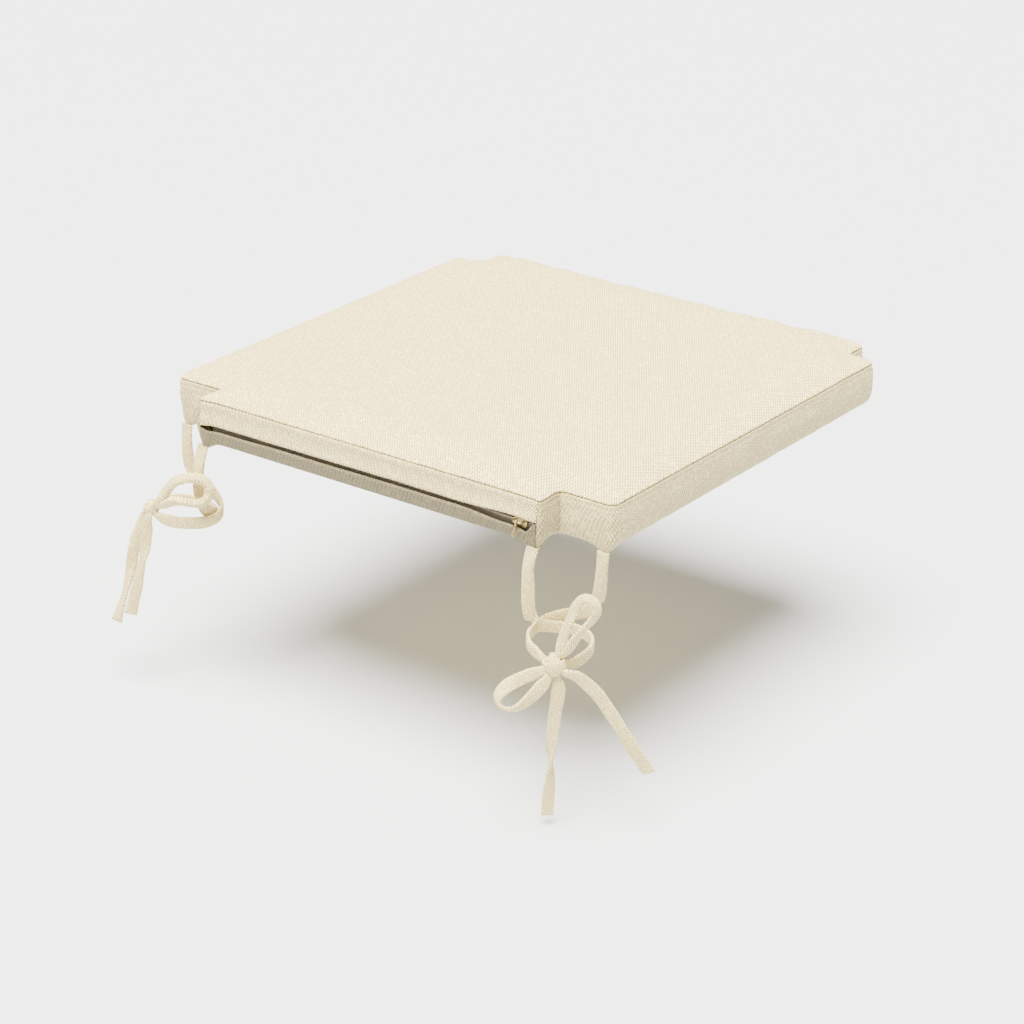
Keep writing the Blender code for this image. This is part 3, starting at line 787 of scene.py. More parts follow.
def profile(points, count):
    """A profile's places in metres, evenly spaced: out, height and distance along it."""
    line = smooth_line([(out * MM, up * MM, 0.0) for out, up in points], 1e-5)
    along = np.concatenate([[0], np.cumsum(np.linalg.norm(np.diff(line, axis=0), axis=1))])
    at = np.linspace(0, along[-1], count)
    return [(np.interp(a, along, line[:, 0]), np.interp(a, along, line[:, 1]), a) for a in at]


def ring_rows(outline, numbers, places, base):
    """Rows of points that carry a profile along part of the outline."""
    points, normals = outline.points[numbers], outline.normals[numbers]
    rows = []
    for out, up, _ in places:
        flat = points + normals * out
        rows.append(np.column_stack([flat, np.full(len(flat), base + up)]))
    return rows


def panel(sheet, outline, roll, spacing, height):
    """A panel that fills the outline: rolled rings at its edge, and an even net inside."""
    sizes = settings("sizes")
    numbers = list(range(len(outline.points)))
    rows = ring_rows(outline, numbers, roll, sizes.seam_height)
    edge = rows[-1]
    inset = -roll[-1][0]
    half_width, reach = max(sizes.rear_width, sizes.front_width) / 2, inset + spacing * 0.6
    xs = np.arange(-half_width, half_width + spacing, spacing)
    ys = np.arange(REAR_Y, FRONT_Y + spacing, spacing * 0.866)
    net = np.array([(x + spacing * 0.5 * (j % 2), y) for j, y in enumerate(ys) for x in xs])
    net = net[inside(net, outline)]
    net = net[distances(net, outline) > reach]
    count = len(edge)
    flat = [Vector(point[:2]) for point in edge] + [Vector(point) for point in net]
    ring = [(i, (i + 1) % count) for i in range(count)]
    out, _, faces, sources, _, _ = delaunay_2d_cdt(flat, ring, [], 1, 1e-7)
    first = len(sheet.points)
    places = np.array([tuple(point) for point in out])
    gap = distances(places, outline)
    level = height(places[:, 0], places[:, 1], gap)
    for number, (place, up, source) in enumerate(zip(places, level, sources)):
        on_edge = any(s < count for s in source)
        z = edge[0][2] if on_edge else up
        sheet.points.append((place[0], place[1], z))
        sheet.places.append((place[0], place[1], 0.0))
    sheet.faces += [tuple(first + corner for corner in face) for face in faces]
    flat_places = [np.column_stack([row[:, :2], np.zeros(len(row))]) for row in rows]
    sheet.grid(rows, flat_places, closed=True)


def build_top(outline, swelling):
    """Top panel: crowned, with a rolled edge that turns down into the seam."""
    sizes = settings("sizes")
    roll = profile(TOP_ROLL, 8)
    start = sizes.seam_height + roll[-1][1]
    inset = -roll[-1][0]

    def height(x, y, gap):
        rise = crown_height(x, y)
        lift = 0.0007 * ease((gap - inset) / 0.008)
        slack = 0.00028 * ripple(x, y, 0.11, 0.6) * ease((gap - inset) / 0.03)
        dip = sizes.crown * 0.09 * (1 - ease((gap - inset) / 0.006))
        return start + lift + rise - dip + slack

    sheet = Sheet()
    panel(sheet, outline, roll, sizes.grid, height)
    sheet.points = [tuple(p) for p in pulled(swelling.moved(sheet.points))]
    piece = sheet.make("cover_top", twill("top_twill"), sizes.cloth, weld=0.00005)
    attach(piece, "cushion")
    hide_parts("cover_top_panel", "wadding_top")


def build_underside(outline):
    """Bottom panel: flat, because it lies on the seat."""
    sizes = settings("sizes")
    roll = profile(UNDER_ROLL, 5)

    def height(x, y, gap):
        level = np.full_like(x, sizes.seam_height + roll[-1][1])
        return level + 0.00002 * ripple(x, y, 0.08, 2.0)

    sheet = Sheet()
    panel(sheet, outline, roll, 0.006, height)
    sheet.points = [tuple(p) for p in pulled(sheet.points)]
    # Painted shade: the underside's cloth is drawn a little darker, as it faces down
    material = twill("underside_twill", 0.93)
    piece = sheet.make("cover_underside", material, sizes.cloth, weld=0.00005)
    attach(piece, "cushion")
    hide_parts("cover_bottom_panel", "wadding_bottom")


def pulled(points):
    """The cover bulged at the corners beside the zip, and drawn down to where each tie is sewn."""
    points = np.array(points, float)
    # Outwards at the corners, most at half the cover's height
    for side, bulge in ((1, 0.0030), (-1, 0.0050)):
        gap = np.hypot(points[:, 0] - side * NOTCH_X, points[:, 1] - REAR_Y)
        near = np.exp(-((gap / 0.0115) ** 2))
        height = np.sin(math.pi * np.clip((points[:, 2] + 0.006) / 0.050, 0, 1))
        push = bulge * near * (0.3 + 0.7 * height)
        points[:, 0] += side * 0.6 * push
        points[:, 1] -= 0.8 * push
    # Down and inwards at the roots, in a funnel that ends a little way up the side
    for root in (root_place(side, which) for side in INNER_ROOT for which in ("inner", "outer")):
        way = np.array(root.xy) - points[:, :2]
        near = np.exp(-((np.linalg.norm(way, axis=1) / 0.0100) ** 2))
        pull = near * (1 - ease((points[:, 2] - 0.001) / 0.022))
        points[:, 2] -= 0.0074 * pull
        points[:, :2] += way * (0.5 * pull)[:, None]
    return points


def build_strip(outline, swelling, name, first, last, node, shade):
    """A boxing strip between two points of the outline, sunk a little at its end seams."""
    sizes = settings("sizes")
    numbers = outline.span(first, last)
    places = profile(BAND, 30)
    rows = ring_rows(outline, numbers, places, sizes.seam_height)
    along = outline.along[numbers].copy()
    if along[-1] < along[0]:
        total = outline.along[-1] + Outline.STEP
        along[along < along[0]] += total
    from_ends = np.minimum(along - along[0], along[-1] - along)
    sunk = 0.0011 * (1 - ease(from_ends / 0.0035))
    normals = outline.normals[numbers]
    flat_places = []
    for row, (out, up, down) in zip(rows, places):
        row[:, :2] -= normals * sunk[:, None]
        middle = math.sin(math.pi * min(max(-up / sizes.seam_height, 0), 1))
        wave = 0.00035 * middle * ripple(along, along * 0 + up * 3, 0.075, 1.3)
        row[:, :2] += normals * wave[:, None]
        flat_places.append(np.column_stack([along, np.full(len(along), -down), along * 0]))
    sheet = Sheet()
    sheet.grid(rows, flat_places)
    sheet.points = [tuple(p) for p in pulled(swelling.moved(sheet.points, 0.8))]
    # shade darkens this strip's cloth, as painted shade
    piece = sheet.make(name, twill(f"{name}_twill", shade), sizes.cloth)
    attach(piece, "cushion")
    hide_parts(node)


def build_boxing(outline, swelling):
    """The five strips round the edge, which meet at the inner corners of the notches."""
    middle = outline.middle
    # The last number darkens each strip's cloth as painted shade: most on the strips in the
    # notches beside the zip, less on the sides, least at the front
    strips = [
        ("boxing_rear_right", outline.starts[0], middle(1), "rear_notch_boxing_right", 0.52),
        ("boxing_side_right", middle(1), middle(4), "side_boxing_right", 0.75),
        ("boxing_front", middle(4), middle(7), "front_boxing", 0.83),
        ("boxing_side_left", middle(7), middle(10), "side_boxing_left", 0.75),
        ("boxing_rear_left", middle(10), outline.ends[11], "rear_notch_boxing_left", 0.52),
    ]
    for name, first, last, node, shade in strips:
        build_strip(outline, swelling, name, first, last, node, shade)


# ---- zip ---------------------------------------------------------------------------------

# Sections of the flaps: distance out from the rear edge and height, in mm. The upper one is
# measured down from the seam to its lip, and the lower one up from the underside.
UPPER_FLAP = [
    (-2.2, -1.2), (-1.0, -1.15), (-0.1, -1.6), (0.5, -2.8), (0.7, -4.6), (0.7, -7.0),
    (1.0, -10.0), (1.8, -13.5), (2.9, -16.6), (3.3, -18.2), (3.0, -19.5), (1.9, -20.15),
    (0.6, -20.0), (-0.2, -19.0), (-0.5, -16.5), (-0.7, -12.5),
]
LOWER_FLAP = [
    (-6.2, 0.3), (-3.8, 0.3), (-1.4, 0.5), (0.1, 1.3), (1.0, 3.0), (1.6, 5.6), (2.2, 8.4),
    (2.9, 10.6), (3.4, 12.0), (3.3, 13.2), (2.3, 13.9), (1.0, 13.7), (0.0, 12.6), (-0.5, 10.0),
    (-0.8, 6.5),
]


def zip_lips(x):
    """How far the upper and lower lips of the zip lie above or below a straight mouth."""
    # A slow arch and two small waves, which die away towards the slider
    arch = 0.00025 * np.cos(x / 0.165 * math.pi * 0.9 - 0.35) + 0.0004
    arch = arch + 0.0001 * np.sin(x / 0.021 + 1.0) + 0.00015 * np.sin(x / 0.047)
    at_slider = ease((x - (SLIDER_X - 0.058)) / 0.046)
    arch = arch * (1 - at_slider)
    # The lips part beside the slider, and meet again at both ends of the mouth
    parting = 0.00010 * np.sin(x / 0.033 + 2.0) + 0.0001
    closed = ease((-x - 0.1595) / 0.0085)
    rise = ease((x - (SLIDER_X + 0.005)) / 0.0115)
    upper = arch + parting + 0.0021 * at_slider - 0.0006 * closed
    # The lower lip leaves room for the tab when the slider is at the left
    room = 0.0010 * ease((-0.085 - x) / 0.045)
    lower = arch - parting - room - 0.0024 * at_slider * (1 - rise)
    lower = lower + 0.0052 * rise + 0.0024 * closed
    return upper, lower


def build_zip_lips():
    """The two flaps over the zip, each folded back on itself along its lip."""
    sizes = settings("sizes")
    outer_x = NOTCH_X - sizes.flap_radius
    xs = np.linspace(-outer_x, outer_x, 180)
    lifts = zip_lips(xs)
    close = ease((np.abs(xs) - (outer_x - 0.007)) / 0.007)
    # The last number darkens each flap's cloth as painted shade, very deep on the lower flap,
    # which faces down under the upper lip
    for name, section, base, node, shade in (
        ("zip_lip_upper", UPPER_FLAP, sizes.seam_height, "zip_flap_upper", 0.82),
        ("zip_lip_lower", LOWER_FLAP, 0.0, "zip_flap_lower", 0.20),
    ):
        upper = base > 0
        rows, flat_places = [], []
        for out, up, along in profile(section, 40):
            z = base + up
            reach = abs(up) / 0.020 if upper else max(up, 0) / 0.014
            reach = min(reach, 1.0) ** 1.5
            level = z + lifts[0 if upper else 1] * reach
            bulge = out * (1 - 0.55 * close) if out > 0 else np.full_like(xs, out)
            bulge = bulge + 0.0003 * reach * ripple(xs, xs * 0 + up, 0.05, 0.4)
            rows.append(np.column_stack([xs, REAR_Y - bulge, level]))
            flat_places.append(np.column_stack([xs, np.full_like(xs, along), xs * 0]))
        sheet = Sheet()
        sheet.grid(rows, flat_places)
        sheet.points = [tuple(p) for p in pulled(sheet.points)]
        piece = sheet.make(name, twill(f"{name}_twill", shade), sizes.cloth)
        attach(piece, "cushion")
        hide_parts(node)


def build_zip_chain():
    """The zip's two tapes, each with a corded edge, and their coils."""
    tape_material, coil_material = woven_tape("zip_tape_weave"), nylon("zip_coil_nylon")
    pitch = settings("zip_look").coil_pitch
    for half, sign in (("lower", -1), ("upper", 1)):
        low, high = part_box(f"zip_tape_{half}")
        edge, far = (high.z, low.z) if sign < 0 else (low.z, high.z)
        xs = np.linspace(low.x, high.x, 160)
        wave = 0.00012 * np.sin(xs / 0.013)
        section = [
            (0.0, 0.0), (0.12, -0.1), (0.12, 0.55), (0.30, 0.7), (0.30, 1.5), (0.12, 1.7),
            (0.12, 10.2), (0.0, 10.4), (-0.15, 10.3), (-0.2, 1.5), (-0.2, 0.2),
        ]
        middle = (low.y + high.y) / 2
        rows, flat_places = [], []
        for out, away in section + section[:1]:
            z = np.full_like(xs, edge + sign * away * MM)
            y = middle - out * MM + wave
            rows.append(np.column_stack([xs, y, z]))
            flat_places.append(np.column_stack([xs, np.full_like(xs, away * MM), xs * 0]))
        sheet = Sheet()
        sheet.grid(rows, flat_places)
        for end in (0, len(xs) - 1):
            ring = [end + r * len(xs) for r in range(len(section))]
            centre = np.mean([rows[r][end] for r in range(len(section))], axis=0)
            sheet.fan(ring, centre, flat_places[0][end])
        tape = sheet.make(f"zip_tape_{half}_woven", tape_material)
        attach(tape, "cushion")
        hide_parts(f"zip_tape_{half}")
        build_coil(half, sign, pitch, coil_material)


def build_coil(half, sign, pitch, material):
    """A flattened spiral of nylon along the edge of its tape."""
    low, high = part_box(f"zip_coil_{half}")
    wire = 0.00028
    deep, tall = (high.y - low.y) / 2 - wire, (high.z - low.z) / 2 - wire
    turns = (high.x - low.x - 2 * wire) / pitch
    count = int(turns * 10)
    angle = np.linspace(0, turns * math.tau, count)
    centre = (low + high) / 2
    line = np.column_stack([
        low.x + wire + angle / math.tau * pitch,
        centre.y + deep * np.cos(angle),
        centre.z + sign * tall * np.sin(angle),
    ])
    sheet = Sheet()
    faces = np.tile((1.0, 0.0, 0.0), (count, 1))
    sheet.tube(line, faces, [wire] * count, [wire] * count, 6)
    coil = sheet.make(f"zip_coil_{half}_turns", material, weld=0.000001)
    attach(coil, "cushion")
    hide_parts(f"zip_coil_{half}")


def tube_rings(line, faces, half_widths, half_thicknesses, count, power=2.0):
    """Rings round a line: flat towards the face direction, with rounded edges."""
    line = np.asarray(line, float)
    tangent = np.gradient(line, axis=0)
    tangent /= np.maximum(np.linalg.norm(tangent, axis=1), 1e-12)[:, None]
    faces = np.asarray(faces, float)
    faces = faces - (faces * tangent).sum(1)[:, None] * tangent
    faces /= np.maximum(np.linalg.norm(faces, axis=1), 1e-9)[:, None]
    side = np.cross(tangent, faces)
    along = np.concatenate([[0], np.cumsum(np.linalg.norm(np.diff(line, axis=0), axis=1))])
    rings, places = [], []
    for number in range(len(line)):
        ring, ring_places = [], []
        for k in range(count):
            angle = math.tau * k / count
            c, s = math.cos(angle), math.sin(angle)
            w = math.copysign(abs(c) ** (2 / power), c) * half_widths[number]
            t = math.copysign(abs(s) ** (2 / power), s) * half_thicknesses[number]
            ring.append(line[number] + side[number] * w + faces[number] * t)
            ring_places.append((w, along[number], 0.0))
        rings.append(ring)
        places.append(ring_places)
    return rings, places


def extruded(outline_mm, low, high, bevel):
    """A bevelled plate: an outline across X and Z, in mm, between two depths along Y."""
    shape = bmesh.new()
    front = [shape.verts.new((x * MM, low, z * MM)) for x, z in outline_mm]
    face = shape.faces.new(front)
    grown = bmesh.ops.extrude_face_region(shape, geom=[face])
    for item in grown["geom"]:
        if isinstance(item, bmesh.types.BMVert):
            item.co.y = high
    bmesh.ops.recalc_face_normals(shape, faces=shape.faces)
    sharp = [edge for edge in shape.edges if edge.calc_face_angle(0.0) > 0.6]
    bmesh.ops.bevel(shape, geom=sharp, offset=bevel, segments=3, profile=0.5, affect="EDGES")
    return mesh_of(shape, "plate")


def joined(name, meshes, material):
    """One piece made of several meshes, smooth but for its sharp edges."""
    shape = bmesh.new()
    for mesh in meshes:
        shape.from_mesh(mesh)
        bpy.data.meshes.remove(mesh)
    mesh = mesh_of(shape, name)
    mesh.shade_smooth()
    mesh.set_sharp_from_angle(angle=math.radians(40))
    return finished(name, mesh, material)


def rod_mesh(points_mm, radius, count=10):
    """A rounded rod through places given in mm."""
    line = smooth_line([tuple(value * MM for value in point) for point in points_mm], 0.0004)
    faces = np.tile((0.0, 0.2, 1.0), (len(line), 1))
    sheet = Sheet()
    sheet.tube(line, faces, [radius] * len(line), [radius] * len(line), count)
    mesh = bpy.data.meshes.new("rod")
    mesh.from_pydata(sheet.points, [], sheet.faces)
    return mesh


def build_slider():
    """Slider: shouldered plates with turned-in flanges, a divider and a raised bridge.

    The outer plate lies over the lower lip, a little below the inner one.
    """
    # Outline of both plates, in mm along the zip and across it, with the nose to the right
    plate = [
        (-6.4, -3.0), (-5.9, -3.5), (-1.0, -3.7), (1.6, -4.3), (3.4, -4.4), (5.0, -3.5),
        (6.2, -1.9), (6.5, 0.0), (6.2, 1.9), (5.0, 3.5), (3.4, 4.4), (1.6, 4.3), (-1.0, 3.7),
        (-5.9, 3.5), (-6.4, 3.0),
    ]
    outer, inner = REAR_Y + 0.0014, SLIDER_HIGH.y
    thick, drop = 0.0010, 1.9
    lowered = [(x, z - drop) for x, z in plate]
    meshes = [
        extruded(lowered, outer, outer + thick, 0.00028),
        extruded(plate, inner - thick, inner, 0.00028),
        extruded([(2.6, -0.4), (6.2, -0.7), (6.2, 0.7), (2.6, 0.4)], outer, inner, 0.00015),
    ]
    for sign in (-1, 1):
        flange = [(-6.0, sign * 3.2), (5.4, sign * 3.4), (5.4, sign * 4.2), (-6.0, sign * 3.6)]
        if sign > 0:
            flange.reverse()
        meshes.append(extruded(flange, inner - 0.0026, inner - 0.0004, 0.0002))
    pivot = PIVOT.y * 1000
    foot = outer * 1000 + 0.3
    bridge = [
        (-4.6, foot, 0.0), (-4.4, foot - 2.4, 0.0), (-3.4, pivot + 0.5, 0.0), (-1.8, pivot, 0.0),
        (0.0, pivot, 0.0), (1.8, pivot, 0.0), (3.4, pivot + 0.6, 0.0), (4.2, foot - 2.2, 0.0),
        (4.4, foot, 0.0),
    ]
    meshes.append(rod_mesh(bridge, 0.00068))
    piece = joined("slider_body", meshes, aged_brass("slider_brass"))
    piece.location = (SLIDER_X, 0.0, ZIP_Z)
    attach(piece, "slider")
    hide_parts("zip_slider")


def build_pull_tab():
    """Pull tab: an eye round the bridge, a slim neck and a rounded grip with a slot."""
    low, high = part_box("zip_pull_tab")
    away = Vector((low.x + high.x, low.y + high.y, low.z + high.z)) / 2 - PIVOT
    lean = math.atan2(-away.y, -away.z)
    shape = bmesh.new()
    outer = [
        (0.0, 2.05), (1.15, 1.75), (1.9, 0.9), (1.95, -0.3), (1.45, -1.6), (0.95, -2.7),
        (0.9, -4.2), (1.15, -5.6), (1.6, -7.2), (1.8, -9.2), (1.6, -10.8), (0.9, -11.7),
        (0.0, -11.9),
    ]
    ring = outer + [(-x, z) for x, z in reversed(outer[1:-1])]
    eye = [(1.15 * math.cos(a), 1.15 * math.sin(a)) for a in np.linspace(0, math.tau, 17)[:-1]]
    slot = [
        (0.62 * math.cos(a), (-8.6 + 1.5 * (1 if math.sin(a) > 0 else -1)) + 0.62 * math.sin(a))
        for a in np.linspace(0.01, math.tau + 0.01, 17)[:-1]
    ]
    flat, edges = [], []
    for loop in (ring, eye, slot):
        start = len(flat)
        flat += [Vector(place) for place in loop]
        edges += [(start + k, start + (k + 1) % len(loop)) for k in range(len(loop))]
    out, _, faces, _, _, _ = delaunay_2d_cdt(flat, edges, [], 2, 1e-6)

    def in_hole(place):
        return place.length < 1.1 or (abs(place.x) < 0.58 and abs(place.y + 8.6) < 2.0)

    vertices = [shape.verts.new((0.0, p.x * MM, p.y * MM)) for p in out]
    for face in faces:
        middle = sum((Vector(out[corner]) for corner in face), Vector((0, 0))) / len(face)
        if not in_hole(middle):
            shape.faces.new([vertices[corner] for corner in face])
    grown = bmesh.ops.extrude_face_region(shape, geom=shape.faces[:])
    lifted = [item for item in grown["geom"] if isinstance(item, bmesh.types.BMVert)]
    for vertex in lifted:
        vertex.co.x += 0.0009
    for vertex in shape.verts:
        vertex.co.x -= 0.00045
    bmesh.ops.recalc_face_normals(shape, faces=shape.faces)
    sharp = [edge for edge in shape.edges if edge.calc_face_angle(0.0) > 1.0]
    bmesh.ops.bevel(shape, geom=sharp, offset=0.00018, segments=2, profile=0.5, affect="EDGES")
    mesh = mesh_of(shape, "pull_tab")
    mesh.shade_smooth()
    mesh.set_sharp_from_angle(angle=math.radians(45))
    piece = finished("pull_tab_grip", mesh, aged_brass("pull_tab_brass"))
    piece.location = PIVOT
    piece.rotation_euler = (-lean, 0.0, 0.0)
    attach(piece, "pull_tab")
    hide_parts("zip_pull_tab")


# ---- filling -----------------------------------------------------------------------------


def build_filling():
    """Foam core with softened edges, seen only when the zip is open."""
    low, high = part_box("foam_core")
    outline = Outline()
    sheet = Sheet()
    inset = 0.0024
    heights = [
        (inset + 0.003, low.z), (inset + 0.001, low.z + 0.0006), (inset, low.z + 0.0025),
        (inset, high.z - 0.0025), (inset + 0.001, high.z - 0.0006), (inset + 0.003, high.z),
    ]
    rear = low.y
    rows = []
    for step, z in heights:
        flat = outline.ring(step)
        flat[:, 1] = np.maximum(flat[:, 1], rear + step - inset)
        rows.append(np.column_stack([flat, np.full(len(flat), z)]))
    sheet.grid(rows, rows, closed=True)
    count = len(outline.points)
    cap_low = range(count)
    cap_high = range((len(rows) - 1) * count, len(rows) * count)
    sheet.faces += [tuple(cap_high), tuple(reversed(cap_low))]
    material = filling("foam_cells", (0.86, 0.80, 0.58, 1.0), 0.0011, 0.0005)
    piece = sheet.make("foam_filling", material, weld=1e-6)
    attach(piece, "cushion")
    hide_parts("foam_core")


# ---- ties --------------------------------------------------------------------------------

BOW_TURN = math.radians(35.7)  # how far the bows face towards the right of the rear
POST = (0.193, -0.224)
INNER_ROOT = {"left": 0.0000, "right": -0.0072}
OUTER_ROOT_X = 0.213
KNOTS = {
    "left": ((-29.6, 10.5, -62.4), (6.8, 6.0, 6.4)),
    "right": ((-5.7, 26.5, -82.6), (10.0, 7.0, 8.6)),
}

# Each tie's route beside its post, in mm: across, out towards the bow's face, and height.
# A drop is followed by how many of its points hang before it turns round the post. A loop or
# a tail is followed by the turn of its flat side, in degrees at shares of its length.
TIES = {
    "tie_left_inner": {
        "drop": ([
            (13.0, 17.0, -17.0), (12.0, 18.6, -33.0), (12.0, 19.0, -47.0), (15.5, 16.8, -59.0),
            (20.8, 9.5, -67.5), (23.2, -3.0, -71.5), (17.5, -15.5, -72.5), (5.0, -23.0, -71.0),
            (-9.0, -21.5, -69.0), (-19.5, -13.0, -66.5), (-24.5, -4.0, -64.5),
        ], 3),
        "loop": ([
            (-20.3, 18.0, -51.4), (-14.7, 20.0, -42.2), (-7.8, 22.0, -33.8), (2.0, 24.0, -29.7),
            (12.9, 27.0, -28.3), (19.7, 28.0, -31.9), (22.3, 28.5, -38.9), (19.3, 28.5, -46.2),
            (12.4, 28.0, -50.5), (2.8, 27.0, -50.3), (-8.1, 25.0, -49.8), (-17.4, 20.0, -55.0),
        ], [(0.0, 55), (1.0, 55)]),
        "tail": ([
            (-31.2, 16.0, -67.1), (-33.2, 16.0, -76.3), (-34.6, 15.5, -87.6),
            (-36.3, 15.0, -99.0), (-38.0, 14.5, -107.6), (-41.1, 14.0, -121.0),
            (-44.8, 13.5, -136.3), (-48.4, 13.0, -150.7), (-51.0, 13.0, -161.2),
        ], [(0.0, 0), (0.30, 15), (0.42, 62), (0.50, 68), (0.62, 25), (1.0, 0)]),
    },
    "tie_left_outer": {
        "drop": ([
            (-2.8, -30.6, -17.0), (-2.5, -30.6, -31.0), (0.0, -30.5, -43.0),
            (7.5, -29.0, -53.5), (18.0, -22.5, -61.0), (26.2, -11.0, -66.5), (28.0, 3.0, -69.5),
            (22.5, 16.5, -70.5), (11.0, 24.5, -70.0), (-4.0, 25.5, -69.5), (-17.0, 21.5, -68.5),
            (-24.5, 16.5, -66.5),
        ], 3),
        "tail": ([
            (-36.1, 5.0, -72.0), (-40.5, 4.5, -84.4), (-45.0, 4.0, -96.7), (-47.5, 4.0, -106.1),
            (-48.8, 4.0, -114.5), (-51.2, 4.5, -125.6), (-54.5, 5.0, -138.6),
            (-57.9, 6.0, -151.4), (-61.7, 7.0, -162.4), (-63.7, 7.5, -170.7),
        ], [(0.0, 30), (0.26, 5), (0.36, -20), (0.5, 25), (0.62, 62), (0.85, 68), (1.0, 25)]),
    },
    "tie_right_inner": {
        "drop": ([
            (-26.8, -12.4, -17.0), (-26.8, -12.4, -34.0), (-26.4, -12.6, -50.0),
            (-24.4, -14.0, -61.5), (-19.5, -18.0, -70.0), (-9.0, -23.5, -74.5),
            (2.0, -24.8, -76.0), (13.0, -21.5, -77.0), (21.0, -12.5, -77.5), (23.8, -1.0, -78.0),
            (21.8, 10.0, -79.0), (15.0, 18.5, -81.5), (7.0, 23.5, -83.5),
        ], 4),
        "loop": ([
            (-16.0, 30.0, -86.5), (-24.4, 31.0, -89.6), (-33.5, 32.5, -93.3),
            (-41.8, 34.0, -97.8), (-47.9, 35.0, -104.2), (-49.3, 35.5, -110.0),
            (-45.4, 36.0, -115.3), (-38.5, 36.0, -116.9), (-30.9, 35.5, -114.0),
            (-23.3, 34.5, -107.1), (-16.5, 33.0, -99.6), (-11.3, 31.5, -92.5),
        ], [(0.0, 5), (0.18, 12), (0.42, 68), (0.60, 66), (0.82, 15), (1.0, 5)]),
        "tail": ([
            (2.3, 31.5, -87.2), (10.8, 33.0, -88.8), (20.1, 34.0, -95.9), (28.3, 34.0, -104.8),
            (39.1, 34.0, -121.4), (46.4, 33.5, -133.8), (53.8, 33.0, -146.6),
            (62.0, 32.0, -160.6), (69.4, 31.0, -173.4),
        ], [(0.0, 20), (0.2, 5), (0.7, 0), (1.0, 15)]),
    },
    "tie_right_outer": {
        "drop": ([
            (29.7, -8.0, -17.0), (29.0, -9.0, -31.0), (27.5, -11.0, -44.0), (23.5, -16.5, -55.0),
            (15.0, -25.0, -63.0), (1.5, -30.2, -67.5), (-12.5, -27.5, -71.5),
            (-21.5, -18.5, -74.5), (-26.0, -6.0, -75.5), (-25.0, 7.0, -76.5),
            (-19.5, 16.5, -78.0), (-15.0, 21.5, -80.0),
        ], 3),
        "loop": ([
            (-1.8, 28.0, -67.7), (0.0, 28.5, -60.6), (2.6, 29.0, -51.0), (6.0, 29.5, -41.5),
            (9.4, 30.0, -31.3), (14.5, 31.0, -24.6), (20.0, 32.0, -24.2), (24.8, 33.0, -28.6),
            (25.4, 33.5, -34.4), (22.4, 33.5, -40.5), (15.9, 33.0, -48.8), (9.3, 31.5, -58.9),
            (4.2, 30.0, -68.3),
        ], [(0.0, 55), (0.25, 50), (0.36, 30), (0.46, 55), (0.58, 50), (0.70, 38), (0.85, 50),
            (1.0, 55)]),
        "tail": ([
            (-2.4, 29.0, -98.8), (-3.2, 28.0, -112.3), (-4.9, 27.0, -126.8), (-6.1, 26.0, -143.0),
            (-7.3, 25.0, -157.7), (-7.1, 24.0, -171.5), (-7.5, 24.0, -189.2),
            (-8.7, 24.0, -207.0), (-8.7, 24.0, -216.0),
        ], [(0.0, 5), (0.3, 12), (0.5, 50), (0.62, 98), (0.75, 140), (0.9, 172), (1.0, 176)]),
    },
}


def beside_post(side, place):
    """A place of a route, in mm beside the post, as a place of the cushion."""
    across, out, height = (value * MM for value in place)
    x = POST[0] if side == "right" else -POST[0]
    c, s = math.cos(BOW_TURN), math.sin(BOW_TURN)
    return Vector((x + across * c + out * s, POST[1] + across * s - out * c, height))


def turned(direction):
    """A direction beside the post as a direction of the cushion."""
    across, out, up = direction
    c, s = math.cos(BOW_TURN), math.sin(BOW_TURN)
    return Vector((across * c + out * s, across * s - out * c, up))


def root_place(side, which):
    """Where a tie comes out of its seam, just under the edge of the cover."""
    sign = 1 if side == "right" else -1
    if which == "inner":
        return Vector((sign * (NOTCH_X + INNER_ROOT[side]), REAR_Y + 0.0008, -0.0030))
    return Vector((sign * OUTER_ROOT_X, NOTCH_Y + 0.0008, -0.0030))


def turn_at(turns, share):
    """The angle at a share of the way, from a table of shares and degrees."""
    return math.radians(np.interp(share, [turn[0] for turn in turns], [turn[1] for turn in turns]))


def tie_line(name):
    """A tie's middle line from its root to its end, with the way that its flat side faces."""
    side, which = name.split("_")[1:]
    route = TIES[name]
    knot = beside_post(side, KNOTS[side][0])
    towards = turned((0.0, 1.0, 0.0))
    places, faces = [root_place(side, which)], [Vector((0.0, -1.0, 0.0))]
    points, hanging = route["drop"]
    for number, point in enumerate(points):
        place = beside_post(side, point)
        from_post = turned((point[0], point[1], 0.0)).normalized()
        places.append(place)
        flat = Vector((0.0, -1.0, 0.0)) if number == 0 else towards
        faces.append(flat if number < hanging else from_post)
    places.append(knot)
    faces.append(towards)
    if "loop" in route:
        points, turns = route["loop"]
        centre = sum((Vector(point) for point in points), Vector()) / len(points)
        for number, point in enumerate(points):
            outward = Vector(point) - centre
            outward.y = 0.0
            outward.normalize()
            tilt = turn_at(turns, number / (len(points) - 1))
            face = Vector((0.0, math.cos(tilt), 0.0)) + outward * math.sin(tilt)
            places.append(beside_post(side, point))
            faces.append(turned(face))
        places.append(knot - towards * 0.002)
        faces.append(towards)
    points, turns = route["tail"]
    run = [0.0]
    for first, second in zip(points, points[1:]):
        run.append(run[-1] + (Vector(second) - Vector(first)).length)
    for number, point in enumerate(points):
        angle = turn_at(turns, run[number] / run[-1])
        ahead = Vector(points[min(number + 1, len(points) - 1)])
        behind = Vector(points[max(number - 1, 0)])
        along = turned(ahead - behind).normalized()
        places.append(beside_post(side, point))
        faces.append(Matrix.Rotation(angle, 3, along) @ towards)
    return places, faces


